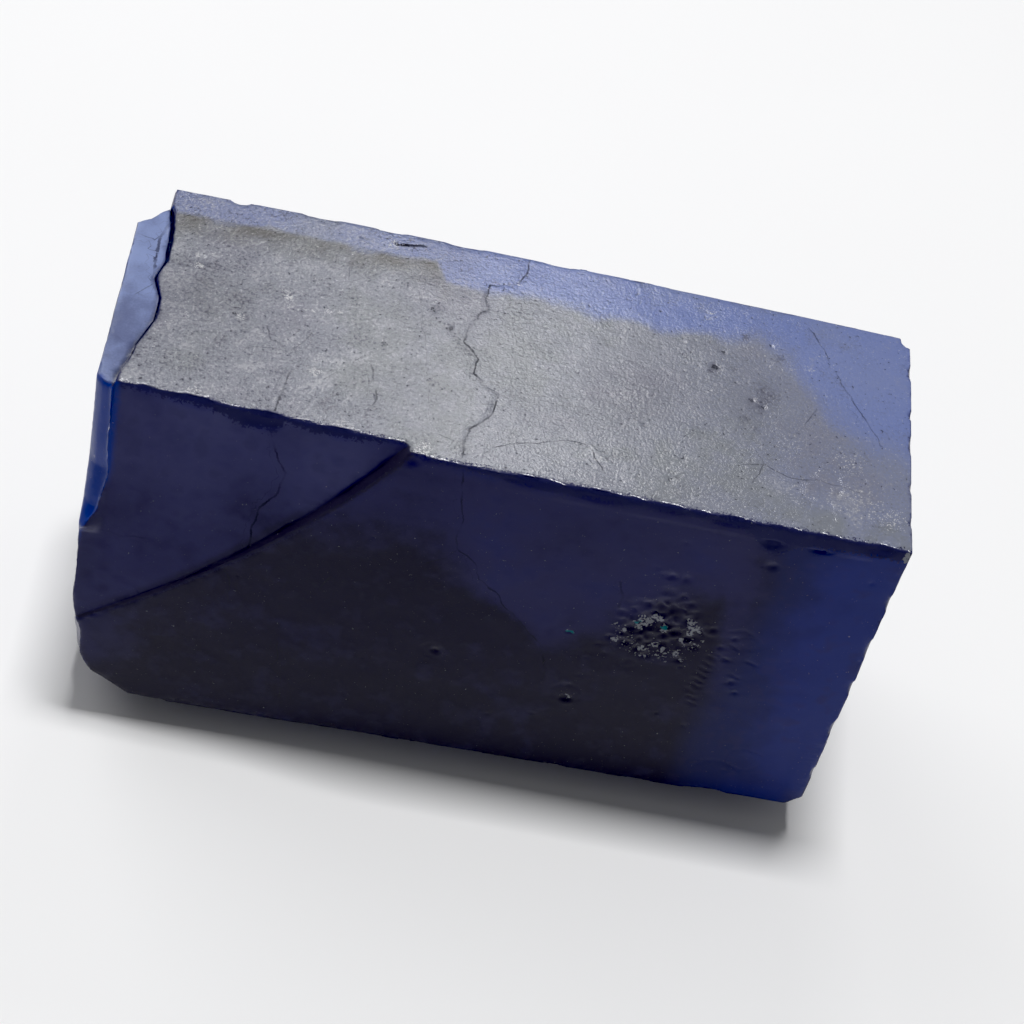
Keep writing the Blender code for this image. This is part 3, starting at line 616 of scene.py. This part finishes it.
def mark_zones(p, ledge, rough, fields):
    """Where the crystal is painted blue rather than grey, as a glow of light through thin edges and zones
    that light reaches.
    """
    x, y, z = p.T
    top, front = fields["top"], fields["front"]
    drift = 2.4 * fractal(p, 7.0, 2, 101)
    border = np.interp(x, *FILM_BORDER)
    soft = np.interp(x, (-12, -6, 15, 22), (0.3, 0.8, 1.4, 5.0))
    blue_top = np.interp(x, (-28, -10, -2), (0.55, 0.65, 0.95)) + 0.22 * fields["cloud"]
    blue_top = blue_top * ramp(-1, 1, (y - border + 1.2 * fractal(p, 2.8, 4, 105)) / soft)
    blue_top = np.maximum(blue_top, 0.4 * ramp(0, 30, x + drift))
    blur = np.interp(x, (-12, -4, 0, 6, 12), (6.0, 5.0, 2.0, 2.5, 6.0))
    blue_front = 0.5 * ramp(-1, 1, (z - np.interp(x, *BLUE_BORDER) + drift) / blur)
    blue_front = blue_front * ramp(26, 18, x)
    # The deep blue right end is a painted glow, where light comes in at the right end.
    deep = ramp(18.8, 25.5, x + drift - 0.05 * (z - 18))
    fields["deep"] = front * deep * (0.35 + 0.65 * ramp(22, 30, x + 0.5 * drift + 0.08 * (z - 18)))
    # More painted glow: above the ledge at the left, at the lower left corner and under the top front edge.
    for zone in (0.4 * ramp(-10, -16, x) * ramp(0.3, 1, ledge),
                 0.3 * ramp(-24, -31, x + drift) * ramp(0, 6, z) * ramp(14, 9, z),
                 0.7 * ramp(4.5, 0.3, HEIGHT - z) * ramp(40, -5, x)):
        blue_front = np.maximum(blue_front, zone)
    # The wedge above the ledge at the left is painted lighter, more so towards the top, as light on that
    # face.
    above = front * ramp(0.05, 0.3, ledge) * ramp(-6, -9, x)
    fields["wedge"] = above * (0.35 + 0.65 * ramp(18, 34, z + drift))
    blue_rough = 0.6 * rough * np.maximum(ramp(1, 4, z), ramp(-11, -9, y))
    fields["blue"] = np.clip(top * blue_top + front * blue_front + blue_rough, 0, 1)
    fields["blue"] = np.maximum(fields["blue"], fields["flake"] * ramp(-4, 3, y))
    ragged = y - border + 0.8 * fractal(p, 1.8, 3, 111)
    olive = ramp(-3.4, -0.4, ragged) * ramp(0.4, -0.1, y - border)
    olive = olive * ramp(-5.6, -9.4, x + 1.2 * fractal(p, 1.5, 2, 115))
    fields["olive"] = top * olive * np.clip(0.85 + 0.7 * fractal(p, 2.0, 2, 117), 0, 1)


def survey(points, normals):
    """The relief of each point in millimetres, and the fields that the material paints by."""
    x, y, z = points.T
    z = z - BELLY
    p = np.column_stack((x, y, z))
    top, front, flake, strip = face_masks(x, y, z, normals)
    rough = 1 - np.clip(top + front + flake + strip, 0, 1)
    mottle = fractal(p, 1.3, 3, 21)
    fields = {"top": top, "front": front, "flake": flake, "strip": strip, "cloud": fractal(p, 6.0, 3, 11),
              "mottle": mottle, "spark": 0.09 + 0.11 * top}
    for name in ("pit", "shade", "sheen_tone", "chalk", "teal"):
        fields[name] = np.zeros(len(x))

    relief = 0.02 * fractal(p, 5.0, 2, 12) + 0.008 * mottle
    calm, grain = broken_relief(x, y, z, p)
    relief += rough * calm * grain
    wander = np.column_stack((0.3 * fractal(p, 0.8, 3, 51), 0.3 * fractal(p + 40.0, 0.8, 3, 52)))
    relief += on_face(top, mark_top, p, wander, fields)
    relief += on_face(front, mark_front, p, wander, fields)
    mark_lines(p, fields)
    fields["pit"] = np.clip(fields["pit"], 0, 1)
    fields["crisp"] = np.interp(x, *TOP_CRISP)
    fields["chalk"] *= front
    for a, b, c, radius in WHITE_CHIPS:
        far = np.sqrt((x - a) ** 2 + (y - b) ** 2 + (z - c) ** 2)
        fields["chalk"] = np.maximum(fields["chalk"], 0.9 * ramp(1.3 * radius, 0.5 * radius, far))

    # The ledge has a comb of small notches on its lower side. Below it, distances are in wall heights.
    ledge = signed_distance(x, z, ledge_route())[0]
    below = front * ramp(-0.9, -0.1, ledge) * (ledge < 0) * (y < -12.0)
    relief -= below * 0.05 * ramp(-0.2, 0.6, fractal(p, 0.45, 2, 91))
    in_walls = np.where(ledge < 0, ledge / np.interp(x, *LEDGE_WALL), ledge)
    fields["ledge"] = np.where((y < -9) & (z < HEIGHT + 1), np.clip(in_walls, -3, 3), 3.0)

    # The broken rim below the top front edge, its chips, and the worn film's distance from that edge.
    border = np.interp(x, [a for a, b in RIM_BORDER], [b for a, b in RIM_BORDER])
    chipped = np.where(z > 31.0, 3.0 * (y - front_edge(x) - 0.55), -3.0)
    fields["rim"] = np.where(y < -8.5, np.clip(np.maximum(z - border, chipped), -3, 3), -3.0)
    fields["ahead"] = ramp(-8.6, -9.4, y) * ramp(0.85, 0.6, normals[:, 0]) * (1 - np.maximum(flake, strip))
    fields["edge"] = np.clip(y - front_edge(x), 0, 3)
    fields["gloss"] = top * ramp(0.9, 0.975, normals[:, 2])

    # The walls inside the open crack, painted darker deeper in, as the shade in the crack.
    walls = ramp(0.5, 0.3, route_distance(x, y, OPEN_CRACK)) * ramp(-10.2, -9.4, y)
    fields["inside"] = walls * ramp(HEIGHT - 0.18, HEIGHT - 0.4, z) * ramp(29, 32, z)
    mark_zones(p, ledge, rough, fields)
    return relief, fields


# ---------------- the stone's surface

def evaluated_mesh(obj):
    depsgraph = bpy.context.evaluated_depsgraph_get()
    return bpy.data.meshes.new_from_object(obj.evaluated_get(depsgraph))


def read(items, name, width, kind):
    values = np.empty(width * len(items), dtype=kind)
    items.foreach_get(name, values)
    return values.reshape(-1, width)


def read_points(mesh):
    return read(mesh.vertices, "co", 3, np.float32).astype(np.float64) / MM


def read_normals(mesh):
    return read(mesh.vertex_normals, "vector", 3, np.float32).astype(np.float64)


def read_edges(mesh):
    return read(mesh.edges, "vertices", 2, np.int32)


def smoothed(values, edges, passes):
    count = len(values)
    a, b = edges.T
    degree = np.maximum(np.bincount(a, minlength=count) + np.bincount(b, minlength=count), 1)
    values = values.copy()
    for _ in range(passes):
        for k in range(3):
            total = (np.bincount(a, weights=values[b, k], minlength=count)
                     + np.bincount(b, weights=values[a, k], minlength=count))
            values[:, k] = 0.5 * values[:, k] + 0.5 * total / degree
    return values


def unit(vectors):
    return vectors / np.maximum(np.linalg.norm(vectors, axis=1), 1e-9)[:, None]


def edge_wear(points, broad, bend):
    """How far each point of an edge is worn in, with shell-shaped chips side by side."""
    edge = np.clip(bend, 0, 1.3)
    chips = np.zeros(len(points))
    chosen = np.nonzero(edge > 0.08)[0]
    near = points[chosen]
    for size, amount, seed in CHIPS:
        far, tag = cell_noise(near, size, seed)
        chips[chosen] += amount * (np.clip(1 - (far / 0.62) ** 2, 0, 1) * (tag > 0.35))
    chips[chosen] += WEAR_LEAST
    # The outer edges at the back, the right and the bottom are more even.
    even = np.maximum(ramp(0.2, 0.45, broad[:, 0]), ramp(0.2, 0.45, broad[:, 1]))
    even = np.maximum(even, ramp(-0.1, -0.35, broad[:, 2]))
    chips *= 1 - 0.75 * even
    return chips * edge


def fit_to_photo(moved, points, normals):
    """Small changes of the CAD's forms, where the photo shows them a little different."""
    x, y, z = points.T
    level = z - BELLY
    # The break down the left front corner faces more to the front than the CAD's plain cut.
    turned = np.clip((BREAK_RIGHT - x) / 1.3, 0, 1) * ramp(-6, -9.6, y) * ramp(19, 20.5, level)
    moved[:, 1] -= 0.75 * turned
    # The open crack is a little narrower than the CAD's.
    far = signed_distance(x, y, OPEN_CRACK)[0]
    width = 0.05 + 0.08 * ramp(5, 2.5, y) + 0.12 * ramp(-8, -9.5, y)
    closing = np.minimum(width, 0.8 * np.abs(far)) * ramp(1.8, 0.4, np.abs(far)) * ramp(28, 31, level)
    moved[:, 0] -= np.sign(far) * closing
    # The pits of the front are filled with crumbs, so they are shallower than the CAD's.
    face = np.nonzero((y < -10.0) & (normals[:, 1] < 0.3) & (x > -6.0))[0]
    for a, b, radius in front_hollows():
        far = np.hypot(x[face] - a, level[face] - b)
        around = np.median(moved[face, 1][(far > 1.3 * radius) & (far < 2.0 * radius)])
        chosen = face[far < 1.6 * radius]
        depth = np.maximum(moved[chosen, 1] - around, 0)
        moved[chosen, 1] -= 0.65 * depth
    # The lower left corner of the front is fuller than the CAD's, and the ledge ends less far out.
    near_corner = ramp(-27.5, -30, x) * ramp(2, -6, y)
    moved[:, 0] += near_corner * (0.5 * np.exp(-((level - 8) / 1.8) ** 2)
                                  - 0.35 * np.exp(-((level - 3.4) / 1.7) ** 2))


def fill_nicks(moved, chosen, along, outs, share):
    """Move out the chosen points near an edge, so that its nicks are shallower than the CAD's."""
    bins = ((moved[chosen, along] - moved[chosen, along].min()) / NICK_STEP).astype(int)
    count = np.arange(bins.max() + 1)
    window = 2 * NICK_BINS + 1
    gaps = []
    for axis, sign in outs:
        reach = np.full(len(count), -99.0)
        np.maximum.at(reach, bins, sign * moved[chosen, axis])
        known = reach > -99
        line = np.polyval(np.polyfit(count[known], reach[known], 1), count)
        above = np.where(known, reach - line, -99.0)
        highest = np.array([above[max(0, i - NICK_BINS):i + NICK_BINS + 1].max() for i in count])
        ends = np.pad(highest, NICK_BINS, mode="edge")
        level = np.convolve(ends, np.full(window, 1 / window), "valid") + line
        gaps.append(level[bins] - sign * moved[chosen, axis])
    gaps = np.maximum(np.array(gaps), 0)
    from_end = np.minimum(bins, bins.max() - bins) * NICK_STEP
    shift = share * np.maximum(gaps.min(axis=0) - NICK_SLACK, 0) * ramp(2.4, 1.4, gaps.max(axis=0))
    shift = shift * ramp(0, NICK_FADE, from_end)
    for k, (axis, sign) in enumerate(outs):
        here = gaps.argmin(axis=0) == k
        moved[chosen[here], axis] += sign * shift[here]


def fill_edges(moved, points):
    x, y, z = points.T
    level = z - BELLY
    up, right, back, front, down = (2, 1), (0, 1), (1, 1), (1, -1), (2, -1)
    upright = (y < -10.2) & (x > 24.0 + 0.165 * level) & (level > 0.5) & (level < 35.0)
    top_right = (x > 29.6) & (level > 33.5)
    top_back = (y > 10.0) & (level > 33.5) & (x > -28.5)
    beside_ledge = ((x > -27.0) & (x < -11.5)) | ((x > -6.5) & (x < 30.0))
    top_front = (y < front_edge(x) + 1.5) & (level > 34.0) & beside_ledge
    low_front = (y < -10.6) & (level < 2.0) & (level > -1.2) & (x > -25.0) & (x < 25.0)
    for chosen, along, outs, share in (
            (upright, 2, (right, front), NICK_SHARE), (top_right, 1, (right, up), NICK_SHARE),
            (top_back, 0, (back, up), NICK_SHARE), (top_front, 0, (front, up), RIM_NICK_SHARE),
            (low_front, 0, (front, down), NICK_SHARE)):
        fill_nicks(moved, np.nonzero(chosen)[0], along, outs, share)


def thin_out(obj, seen):
    """Fewer triangles, and larger ones where the photo doesn't see them."""
    group = obj.vertex_groups.new(name="density")
    for low_seen, high_seen, weight in ((0.0, 0.5, WEIGHT_BROKEN), (0.5, 1.01, WEIGHT_SEEN)):
        group.add(np.nonzero((seen >= low_seen) & (seen < high_seen))[0].tolist(), weight, "REPLACE")
    lighter = obj.modifiers.new("lighter", "DECIMATE")
    lighter.ratio = min(1.0, TRIANGLES / (2 * len(obj.data.polygons)))
    lighter.use_collapse_triangulate = True
    lighter.vertex_group = "density"
    lighter.vertex_group_factor = LENGTH_SAY
    light = evaluated_mesh(obj)
    obj.modifiers.clear()
    obj.vertex_groups.clear()
    obj.data = light
    light.name = obj.name


def build_surface(node):
    obj = bpy.data.objects.new("tanzanite_surface", node.data.copy())
    scene.collection.objects.link(obj)
    remesh = obj.modifiers.new("even", "REMESH")
    remesh.mode = "VOXEL"
    remesh.voxel_size = VOXEL * MM
    dense = evaluated_mesh(obj)
    obj.modifiers.clear()
    obj.data = dense

    points = read_points(dense)
    normals = read_normals(dense)
    edges = read_edges(dense)
    passes = max(2, int(round((WEAR_REACH / VOXEL) ** 2 * 2)))
    rounder = smoothed(points, edges, passes)
    bend = -np.einsum("ij,ij->i", rounder - points, normals) / WEAR_FULL
    broad = unit(smoothed(normals, edges, max(2, passes // 2)))
    relief, fields = survey(points, broad)
    # The patch that the stone rests on stays flat.
    flat = ramp(0.25, 0.9, points[:, 2])
    wear = edge_wear(points, broad, bend)
    low_wear = 1 - 0.6 * fields["flake"]
    moved = points + broad * (relief * flat)[:, None] - broad * (wear * flat * low_wear)[:, None]
    fit_to_photo(moved, points, normals)
    fill_edges(moved, points)
    low = np.array(box_of_cad[0]) / MM
    high = np.array(box_of_cad[1]) / MM
    moved = np.clip(moved, low, high)
    dense.vertices.foreach_set("co", (moved * MM).astype(np.float32).ravel())
    dense.update()
    thin_out(obj, np.clip(fields["top"] + fields["front"], 0, 1))

    light = obj.data
    broad = unit(smoothed(read_normals(light), read_edges(light), 3))
    relief, fields = survey(read_points(light), broad)
    for name, values in fields.items():
        attribute = light.attributes.new(name, "FLOAT", "POINT")
        attribute.data.foreach_set("value", values.astype(np.float32))
    light.polygons.foreach_set("use_smooth", [True] * len(light.polygons))
    light.set_sharp_from_angle(angle=math.radians(SHARP_ANGLE))
    return obj


# ---------------- materials

# The body, painted near black where it is thick and bluer where thinner and thinnest, as a glow of light
# through it;
# the painted glow of the deep blue right end; painted light on the wedge; and the paler veils in it.
BODY_THICK = (0.004, 0.002, 0.03)
BODY_THINNER = (0.03, 0.032, 0.15)
BODY_THIN = (0.012, 0.036, 0.33)
DEEP_DARK = (0.005, 0.016, 0.15)
DEEP_BRIGHT = (0.012, 0.038, 0.32)
WEDGE_PAINTED_LIGHT = (0.1, 0.108, 0.28)
VEIL_BODY = (0.02, 0.019, 0.08)
# The grey film, partly its worn surface and partly painted sheen: plain, over blue crystal where the painted
# glow shows, its two tints, its darker and paler grain, and its larger tones of painted sheen and shade.
FILM = (0.335, 0.35, 0.425)
FILM_BLUE = (0.245, 0.32, 0.7)
FILM_MAUVE = (0.285, 0.285, 0.37)
FILM_SALLOW = (0.33, 0.35, 0.375)
FILM_DARKER = (0.1, 0.1, 0.15)
FILM_PALER = (0.6, 0.61, 0.66)
SHEEN_DARK = (0.08, 0.08, 0.11)
SHEEN_PALE = (0.62, 0.63, 0.66)
OLIVE = (0.12, 0.115, 0.085)
# The flake, painted paler as a glow of light through it, and the strip at the left break.
FLAKE_DARK = (0.19, 0.23, 0.45)
FLAKE_PALE = (0.4, 0.5, 0.88)
STRIP = (0.01, 0.068, 0.47)
# Marks: the broken rim, the ledge's wall, pits and hairlines, the open crack's painted shade, crumbs and
# painted glints.
RIM = (0.04, 0.045, 0.15)
WALL = (0.045, 0.042, 0.085)
MARK = (0.008, 0.008, 0.02)
MARK_FLAKE = (0.022, 0.022, 0.08)
CRACK_SHADE = (0.03, 0.05, 0.16)
CRACK_SHADE_TOP = (0.014, 0.018, 0.06)
CHALK = (0.44, 0.46, 0.5)
TEAL = (0.02, 0.26, 0.3)
GLINT = (0.9, 0.9, 0.92)
# The shader: tanzanite's refraction, roughness of crystal and of broken places, the film's waxy gloss,
# the height of the relief that is too fine for the mesh, in mm, and what the stone absorbs, per metre.
TANZANITE_IOR = 1.69
ROUGH_CRYSTAL = 0.3
ROUGH_BROKEN = 0.65
COAT_ROUGHNESS = 0.19
CLEARNESS = 0.5
SPECULAR_TINT = (0.1, 0.1, 0.12, 1.0)
FINE_RELIEF = 0.03
ABSORPTION_COLOUR = (0.1, 0.0, 0.8, 1.0)
ABSORPTION_DENSITY = 330.0
FLOOR_COLOURS = ((0.845, 0.845, 0.85), (0.865, 0.865, 0.87))
FLOOR_ROUGHNESS = 0.7
FLOOR_SPECULAR = 0.1

FIELDS = ("top", "flake", "strip", "blue", "deep", "pit", "chalk", "teal", "ledge", "rim", "ahead", "edge",
          "gloss", "inside", "olive", "wedge", "cloud", "mottle", "shade", "sheen_tone", "crisp", "spark")


class Nodes:
    """Short names for the nodes of one material."""

    def __init__(self, material):
        material.use_nodes = True
        self.tree = material.node_tree
        self.shader = self.tree.nodes["Principled BSDF"]
        self.output = self.tree.nodes["Material Output"]
        self.place = self.tree.nodes.new("ShaderNodeTexCoord").outputs["Object"]

    def link(self, source, target):
        if isinstance(source, bpy.types.NodeSocket):
            self.tree.links.new(source, target)
        else:
            target.default_value = source

    def math(self, operation, a, b=0.0):
        node = self.tree.nodes.new("ShaderNodeMath")
        node.operation = operation
        self.link(a, node.inputs[0])
        self.link(b, node.inputs[1])
        return node.outputs[0]

    def add(self, a, b):
        return self.math("ADD", a, b)

    def less(self, a, b):
        return self.math("SUBTRACT", a, b)

    def times(self, a, b):
        return self.math("MULTIPLY", a, b)

    def larger(self, a, b):
        return self.math("MAXIMUM", a, b)

    def attribute(self, name):
        node = self.tree.nodes.new("ShaderNodeAttribute")
        node.attribute_name = name
        return node.outputs["Fac"]

    def mapped(self, turn, scale):
        node = self.tree.nodes.new("ShaderNodeMapping")
        self.link(self.place, node.inputs["Vector"])
        node.inputs["Rotation"].default_value = [math.radians(angle) for angle in turn]
        node.inputs["Scale"].default_value = scale
        return node.outputs[0]

    def noise(self, size, detail=2.0, roughness=0.5, vector=None):
        """Noise with features of the given size in millimetres."""
        node = self.tree.nodes.new("ShaderNodeTexNoise")
        self.link(vector or self.place, node.inputs["Vector"])
        node.inputs["Scale"].default_value = 1.0 / (size * MM)
        node.inputs["Detail"].default_value = detail
        node.inputs["Roughness"].default_value = roughness
        return node.outputs["Fac"]

    def range(self, value, low, high, to_low=0.0, to_high=1.0):
        node = self.tree.nodes.new("ShaderNodeMapRange")
        node.interpolation_type = "SMOOTHSTEP"
        for source, name in ((value, "Value"), (low, "From Min"), (high, "From Max"),
                             (to_low, "To Min"), (to_high, "To Max")):
            self.link(source, node.inputs[name])
        return node.outputs[0]

    def mix(self, factor, a, b):
        """From colour a to colour b."""
        node = self.tree.nodes.new("ShaderNodeMix")
        node.data_type = "RGBA"
        self.link(factor, node.inputs[0])
        for value, target in ((a, node.inputs[6]), (b, node.inputs[7])):
            self.link((*value, 1.0) if isinstance(value, tuple) else value, target)
        return node.outputs[2]

    def blend(self, factor, a, b):
        """From number a to number b."""
        node = self.tree.nodes.new("ShaderNodeMix")
        self.link(factor, node.inputs[0])
        self.link(a, node.inputs[2])
        self.link(b, node.inputs[3])
        return node.outputs[0]

    def bump(self, height, distance):
        """Relief of the given height in millimetres."""
        node = self.tree.nodes.new("ShaderNodeBump")
        node.inputs["Distance"].default_value = distance * MM
        self.link(height, node.inputs["Height"])
        return node.outputs[0]


def body_colour(n, field, fine):
    """The body, painted as a glow: near black where it is thick, blue where light gets in."""
    cloud, mottle = field["cloud"], field["mottle"]
    blue = n.add(field["blue"], n.times(cloud, 0.22))
    blue = n.add(blue, n.add(n.times(fine, 0.08), n.times(mottle, 0.18)))
    body = n.mix(n.range(blue, 0.0, 0.55), BODY_THICK, BODY_THINNER)
    body = n.mix(n.range(blue, 0.5, 1.1), body, BODY_THIN)
    # The painted glow of the deep blue right end.
    deep = n.add(field["deep"], n.add(n.times(cloud, 0.45), n.times(mottle, 0.25)))
    deep_blue = n.mix(n.range(deep, 0.25, 1.1), DEEP_DARK, DEEP_BRIGHT)
    body = n.mix(n.range(field["deep"], 0.0, 0.35), body, deep_blue)
    # Painted light on the wedge above the ledge.
    wedge_light = n.add(0.6, n.add(n.times(mottle, 0.35), n.times(cloud, 0.5)))
    body = n.mix(n.times(field["wedge"], wedge_light), body, WEDGE_PAINTED_LIGHT)
    return n.mix(n.range(mottle, 0.05, 0.6, 0.0, 0.3), body, VEIL_BODY)


def film_colour(n, field, fine, speck, streak):
    """The grey film on the top, partly worn surface and partly painted sheen; bluer where the painted glow of
    the body shows through.
    """
    blue, mottle = field["blue"], field["mottle"]
    film = n.mix(n.range(n.add(blue, n.times(fine, 0.5)), 0.1, 1.0), FILM, FILM_BLUE)
    hue = n.add(field["cloud"], n.times(n.add(mottle, speck), 0.5))
    hue = n.times(hue, n.range(blue, 0.1, 0.8, 1.0, 0.35))
    film = n.mix(n.range(hue, 0.0, 0.6, 0.0, 0.7), film, FILM_MAUVE)
    film = n.mix(n.range(hue, 0.0, -0.6, 0.0, 0.7), film, FILM_SALLOW)
    shade = n.add(n.times(mottle, 0.6), n.times(fine, 1.6))
    shade = n.add(shade, n.add(n.times(speck, 1.7), n.times(streak, 0.3)))
    shade = n.add(n.times(shade, field["crisp"]), field["shade"])
    film = n.mix(n.range(shade, 0.05, -1.1), film, FILM_DARKER)
    paler = n.times(n.range(shade, 0.05, 0.7, 0.0, 0.75), n.range(blue, 0.2, 0.9, 1.0, 0.4))
    film = n.mix(paler, film, FILM_PALER)
    # The film's larger tones are painted sheen and shade.
    film = n.mix(field["sheen_tone"], film, SHEEN_PALE)
    return n.mix(n.times(field["sheen_tone"], -1.0), film, SHEEN_DARK)


def stone_material():
    material = bpy.data.materials.new("tanzanite")
    n = Nodes(material)
    field = {name: n.attribute(name) for name in FIELDS}
    top = field["top"]
    grain = n.noise(0.18, 2.0, 0.6)
    fine = n.less(grain, 0.5)
    speck = n.less(n.noise(0.34, 1.0, 0.6), 0.5)
    streak = n.less(n.noise(0.26, 1.0, 0.6, n.mapped((0, 0, -12), (0.3, 1, 1))), 0.5)
    glitter = n.less(n.noise(0.12, 1.0, 0.6), 0.5)

    # The film breaks off raggedly at the top front edge.
    kept = n.range(n.add(field["edge"], n.times(fine, 1.6)), 0.22, 0.34)
    film_mask = n.times(top, kept)
    colour = n.mix(film_mask, body_colour(n, field, fine), film_colour(n, field, fine, speck, streak))
    colour = n.mix(n.times(field["olive"], 0.8), colour, OLIVE)
    # The flake is painted paler towards its back, as light through the thin flake.
    lit = n.add(n.add(field["mottle"], fine), field["blue"])
    colour = n.mix(field["flake"], colour, n.mix(n.range(lit, -0.5, 1.4), FLAKE_DARK, FLAKE_PALE))
    colour = n.mix(field["strip"], colour, STRIP)

    # The broken rim below the top front edge, and the ledge's wall with its comb.
    rim = n.add(field["rim"], n.add(n.times(fine, 1.3), n.times(speck, 1.4)))
    rim = n.range(rim, -0.06, 0.06)
    wall = n.range(n.add(field["ledge"], n.times(fine, 0.9)), -1.1, -0.45)
    wall = n.times(wall, n.range(field["ledge"], 0.12, 0.0))
    navy = n.times(n.larger(rim, wall), n.less(1.0, film_mask))
    navy = n.times(navy, field["ahead"])
    colour = n.mix(navy, colour, n.mix(wall, RIM, WALL))

    # Pits, pores, hairlines, and the painted shade inside the open crack.
    pits = n.range(n.add(field["pit"], n.times(fine, 1.6)), 0.5, 0.75)
    dark = n.times(pits, n.blend(top, 0.5, 0.85))
    for name in ("first", "second"):
        far = n.math("ABSOLUTE", n.add(n.attribute(name + "_line"), n.times(fine, 1.8)))
        dark = n.larger(dark, n.times(n.range(far, 1.0, 0.4), n.attribute(name + "_dark")))
    pores = n.range(n.add(speck, n.times(fine, 0.4)), -0.22, -0.27)
    dark = n.larger(dark, n.times(pores, n.times(top, 0.7)))
    colour = n.mix(dark, colour, n.mix(field["flake"], MARK, MARK_FLAKE))
    colour = n.mix(field["inside"], colour, n.mix(top, CRACK_SHADE, CRACK_SHADE_TOP))

    # White and teal crumbs, white chips, and painted glints: white colour where the film would glint.
    chalk = n.add(field["chalk"], n.add(n.times(fine, 1.3), n.times(speck, 1.3)))
    chalk = n.range(chalk, 0.48, 0.66)
    colour = n.mix(chalk, colour, n.mix(n.range(field["teal"], 0.3, 0.7), CHALK, TEAL))
    glints = n.add(n.times(speck, 0.6), n.times(glitter, 1.7))
    glints = n.range(n.add(glints, field["spark"]), 0.58, 0.66)
    colour = n.mix(n.times(glints, n.blend(top, 0.25, 0.85)), colour, GLINT)
    n.link(colour, n.shader.inputs["Base Color"])

    rough = n.blend(n.larger(n.larger(chalk, dark), navy), ROUGH_CRYSTAL, ROUGH_BROKEN)
    n.link(rough, n.shader.inputs["Roughness"])

    # Relief too fine for the mesh.
    dimples = n.times(n.add(speck, n.times(streak, 0.4)), n.blend(top, 0.1, 1.0))
    height = n.add(n.times(grain, n.blend(top, 0.2, 1.0)), dimples)
    normal = n.bump(n.times(height, field["crisp"]), FINE_RELIEF)
    n.link(normal, n.shader.inputs["Normal"])

    # The film has a waxy gloss; so, less, has the flake.
    gloss = n.larger(n.times(field["gloss"], n.less(1.0, dark)), n.times(field["flake"], 0.4))
    n.link(gloss, n.shader.inputs["Coat Weight"])
    n.link(normal, n.shader.inputs["Coat Normal"])

    for name, value in (
            ("Coat Roughness", COAT_ROUGHNESS), ("Coat IOR", TANZANITE_IOR), ("IOR", TANZANITE_IOR),
            ("Transmission Weight", CLEARNESS), ("Specular Tint", SPECULAR_TINT)):
        n.shader.inputs[name].default_value = value
    volume = n.tree.nodes.new("ShaderNodeVolumeAbsorption")
    volume.inputs["Color"].default_value = ABSORPTION_COLOUR
    volume.inputs["Density"].default_value = ABSORPTION_DENSITY
    n.link(volume.outputs[0], n.output.inputs["Volume"])
    return material


def floor_material():
    material = bpy.data.materials.new("floor")
    n = Nodes(material)
    n.link(n.mix(n.noise(40.0), *FLOOR_COLOURS), n.shader.inputs["Base Color"])
    n.shader.inputs["Roughness"].default_value = FLOOR_ROUGHNESS
    n.shader.inputs["Specular IOR Level"].default_value = FLOOR_SPECULAR
    return material


# ---------------- the scene

bpy.ops.mesh.primitive_plane_add(size=3.0, location=(0, 0, -0.00002))
floor = bpy.context.object
floor.name = "floor"
floor.data.materials.append(floor_material())

surface = build_surface(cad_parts["tanzanite"])
surface.data.materials.clear()
surface.data.materials.append(stone_material())
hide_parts("tanzanite")
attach(surface, "root")
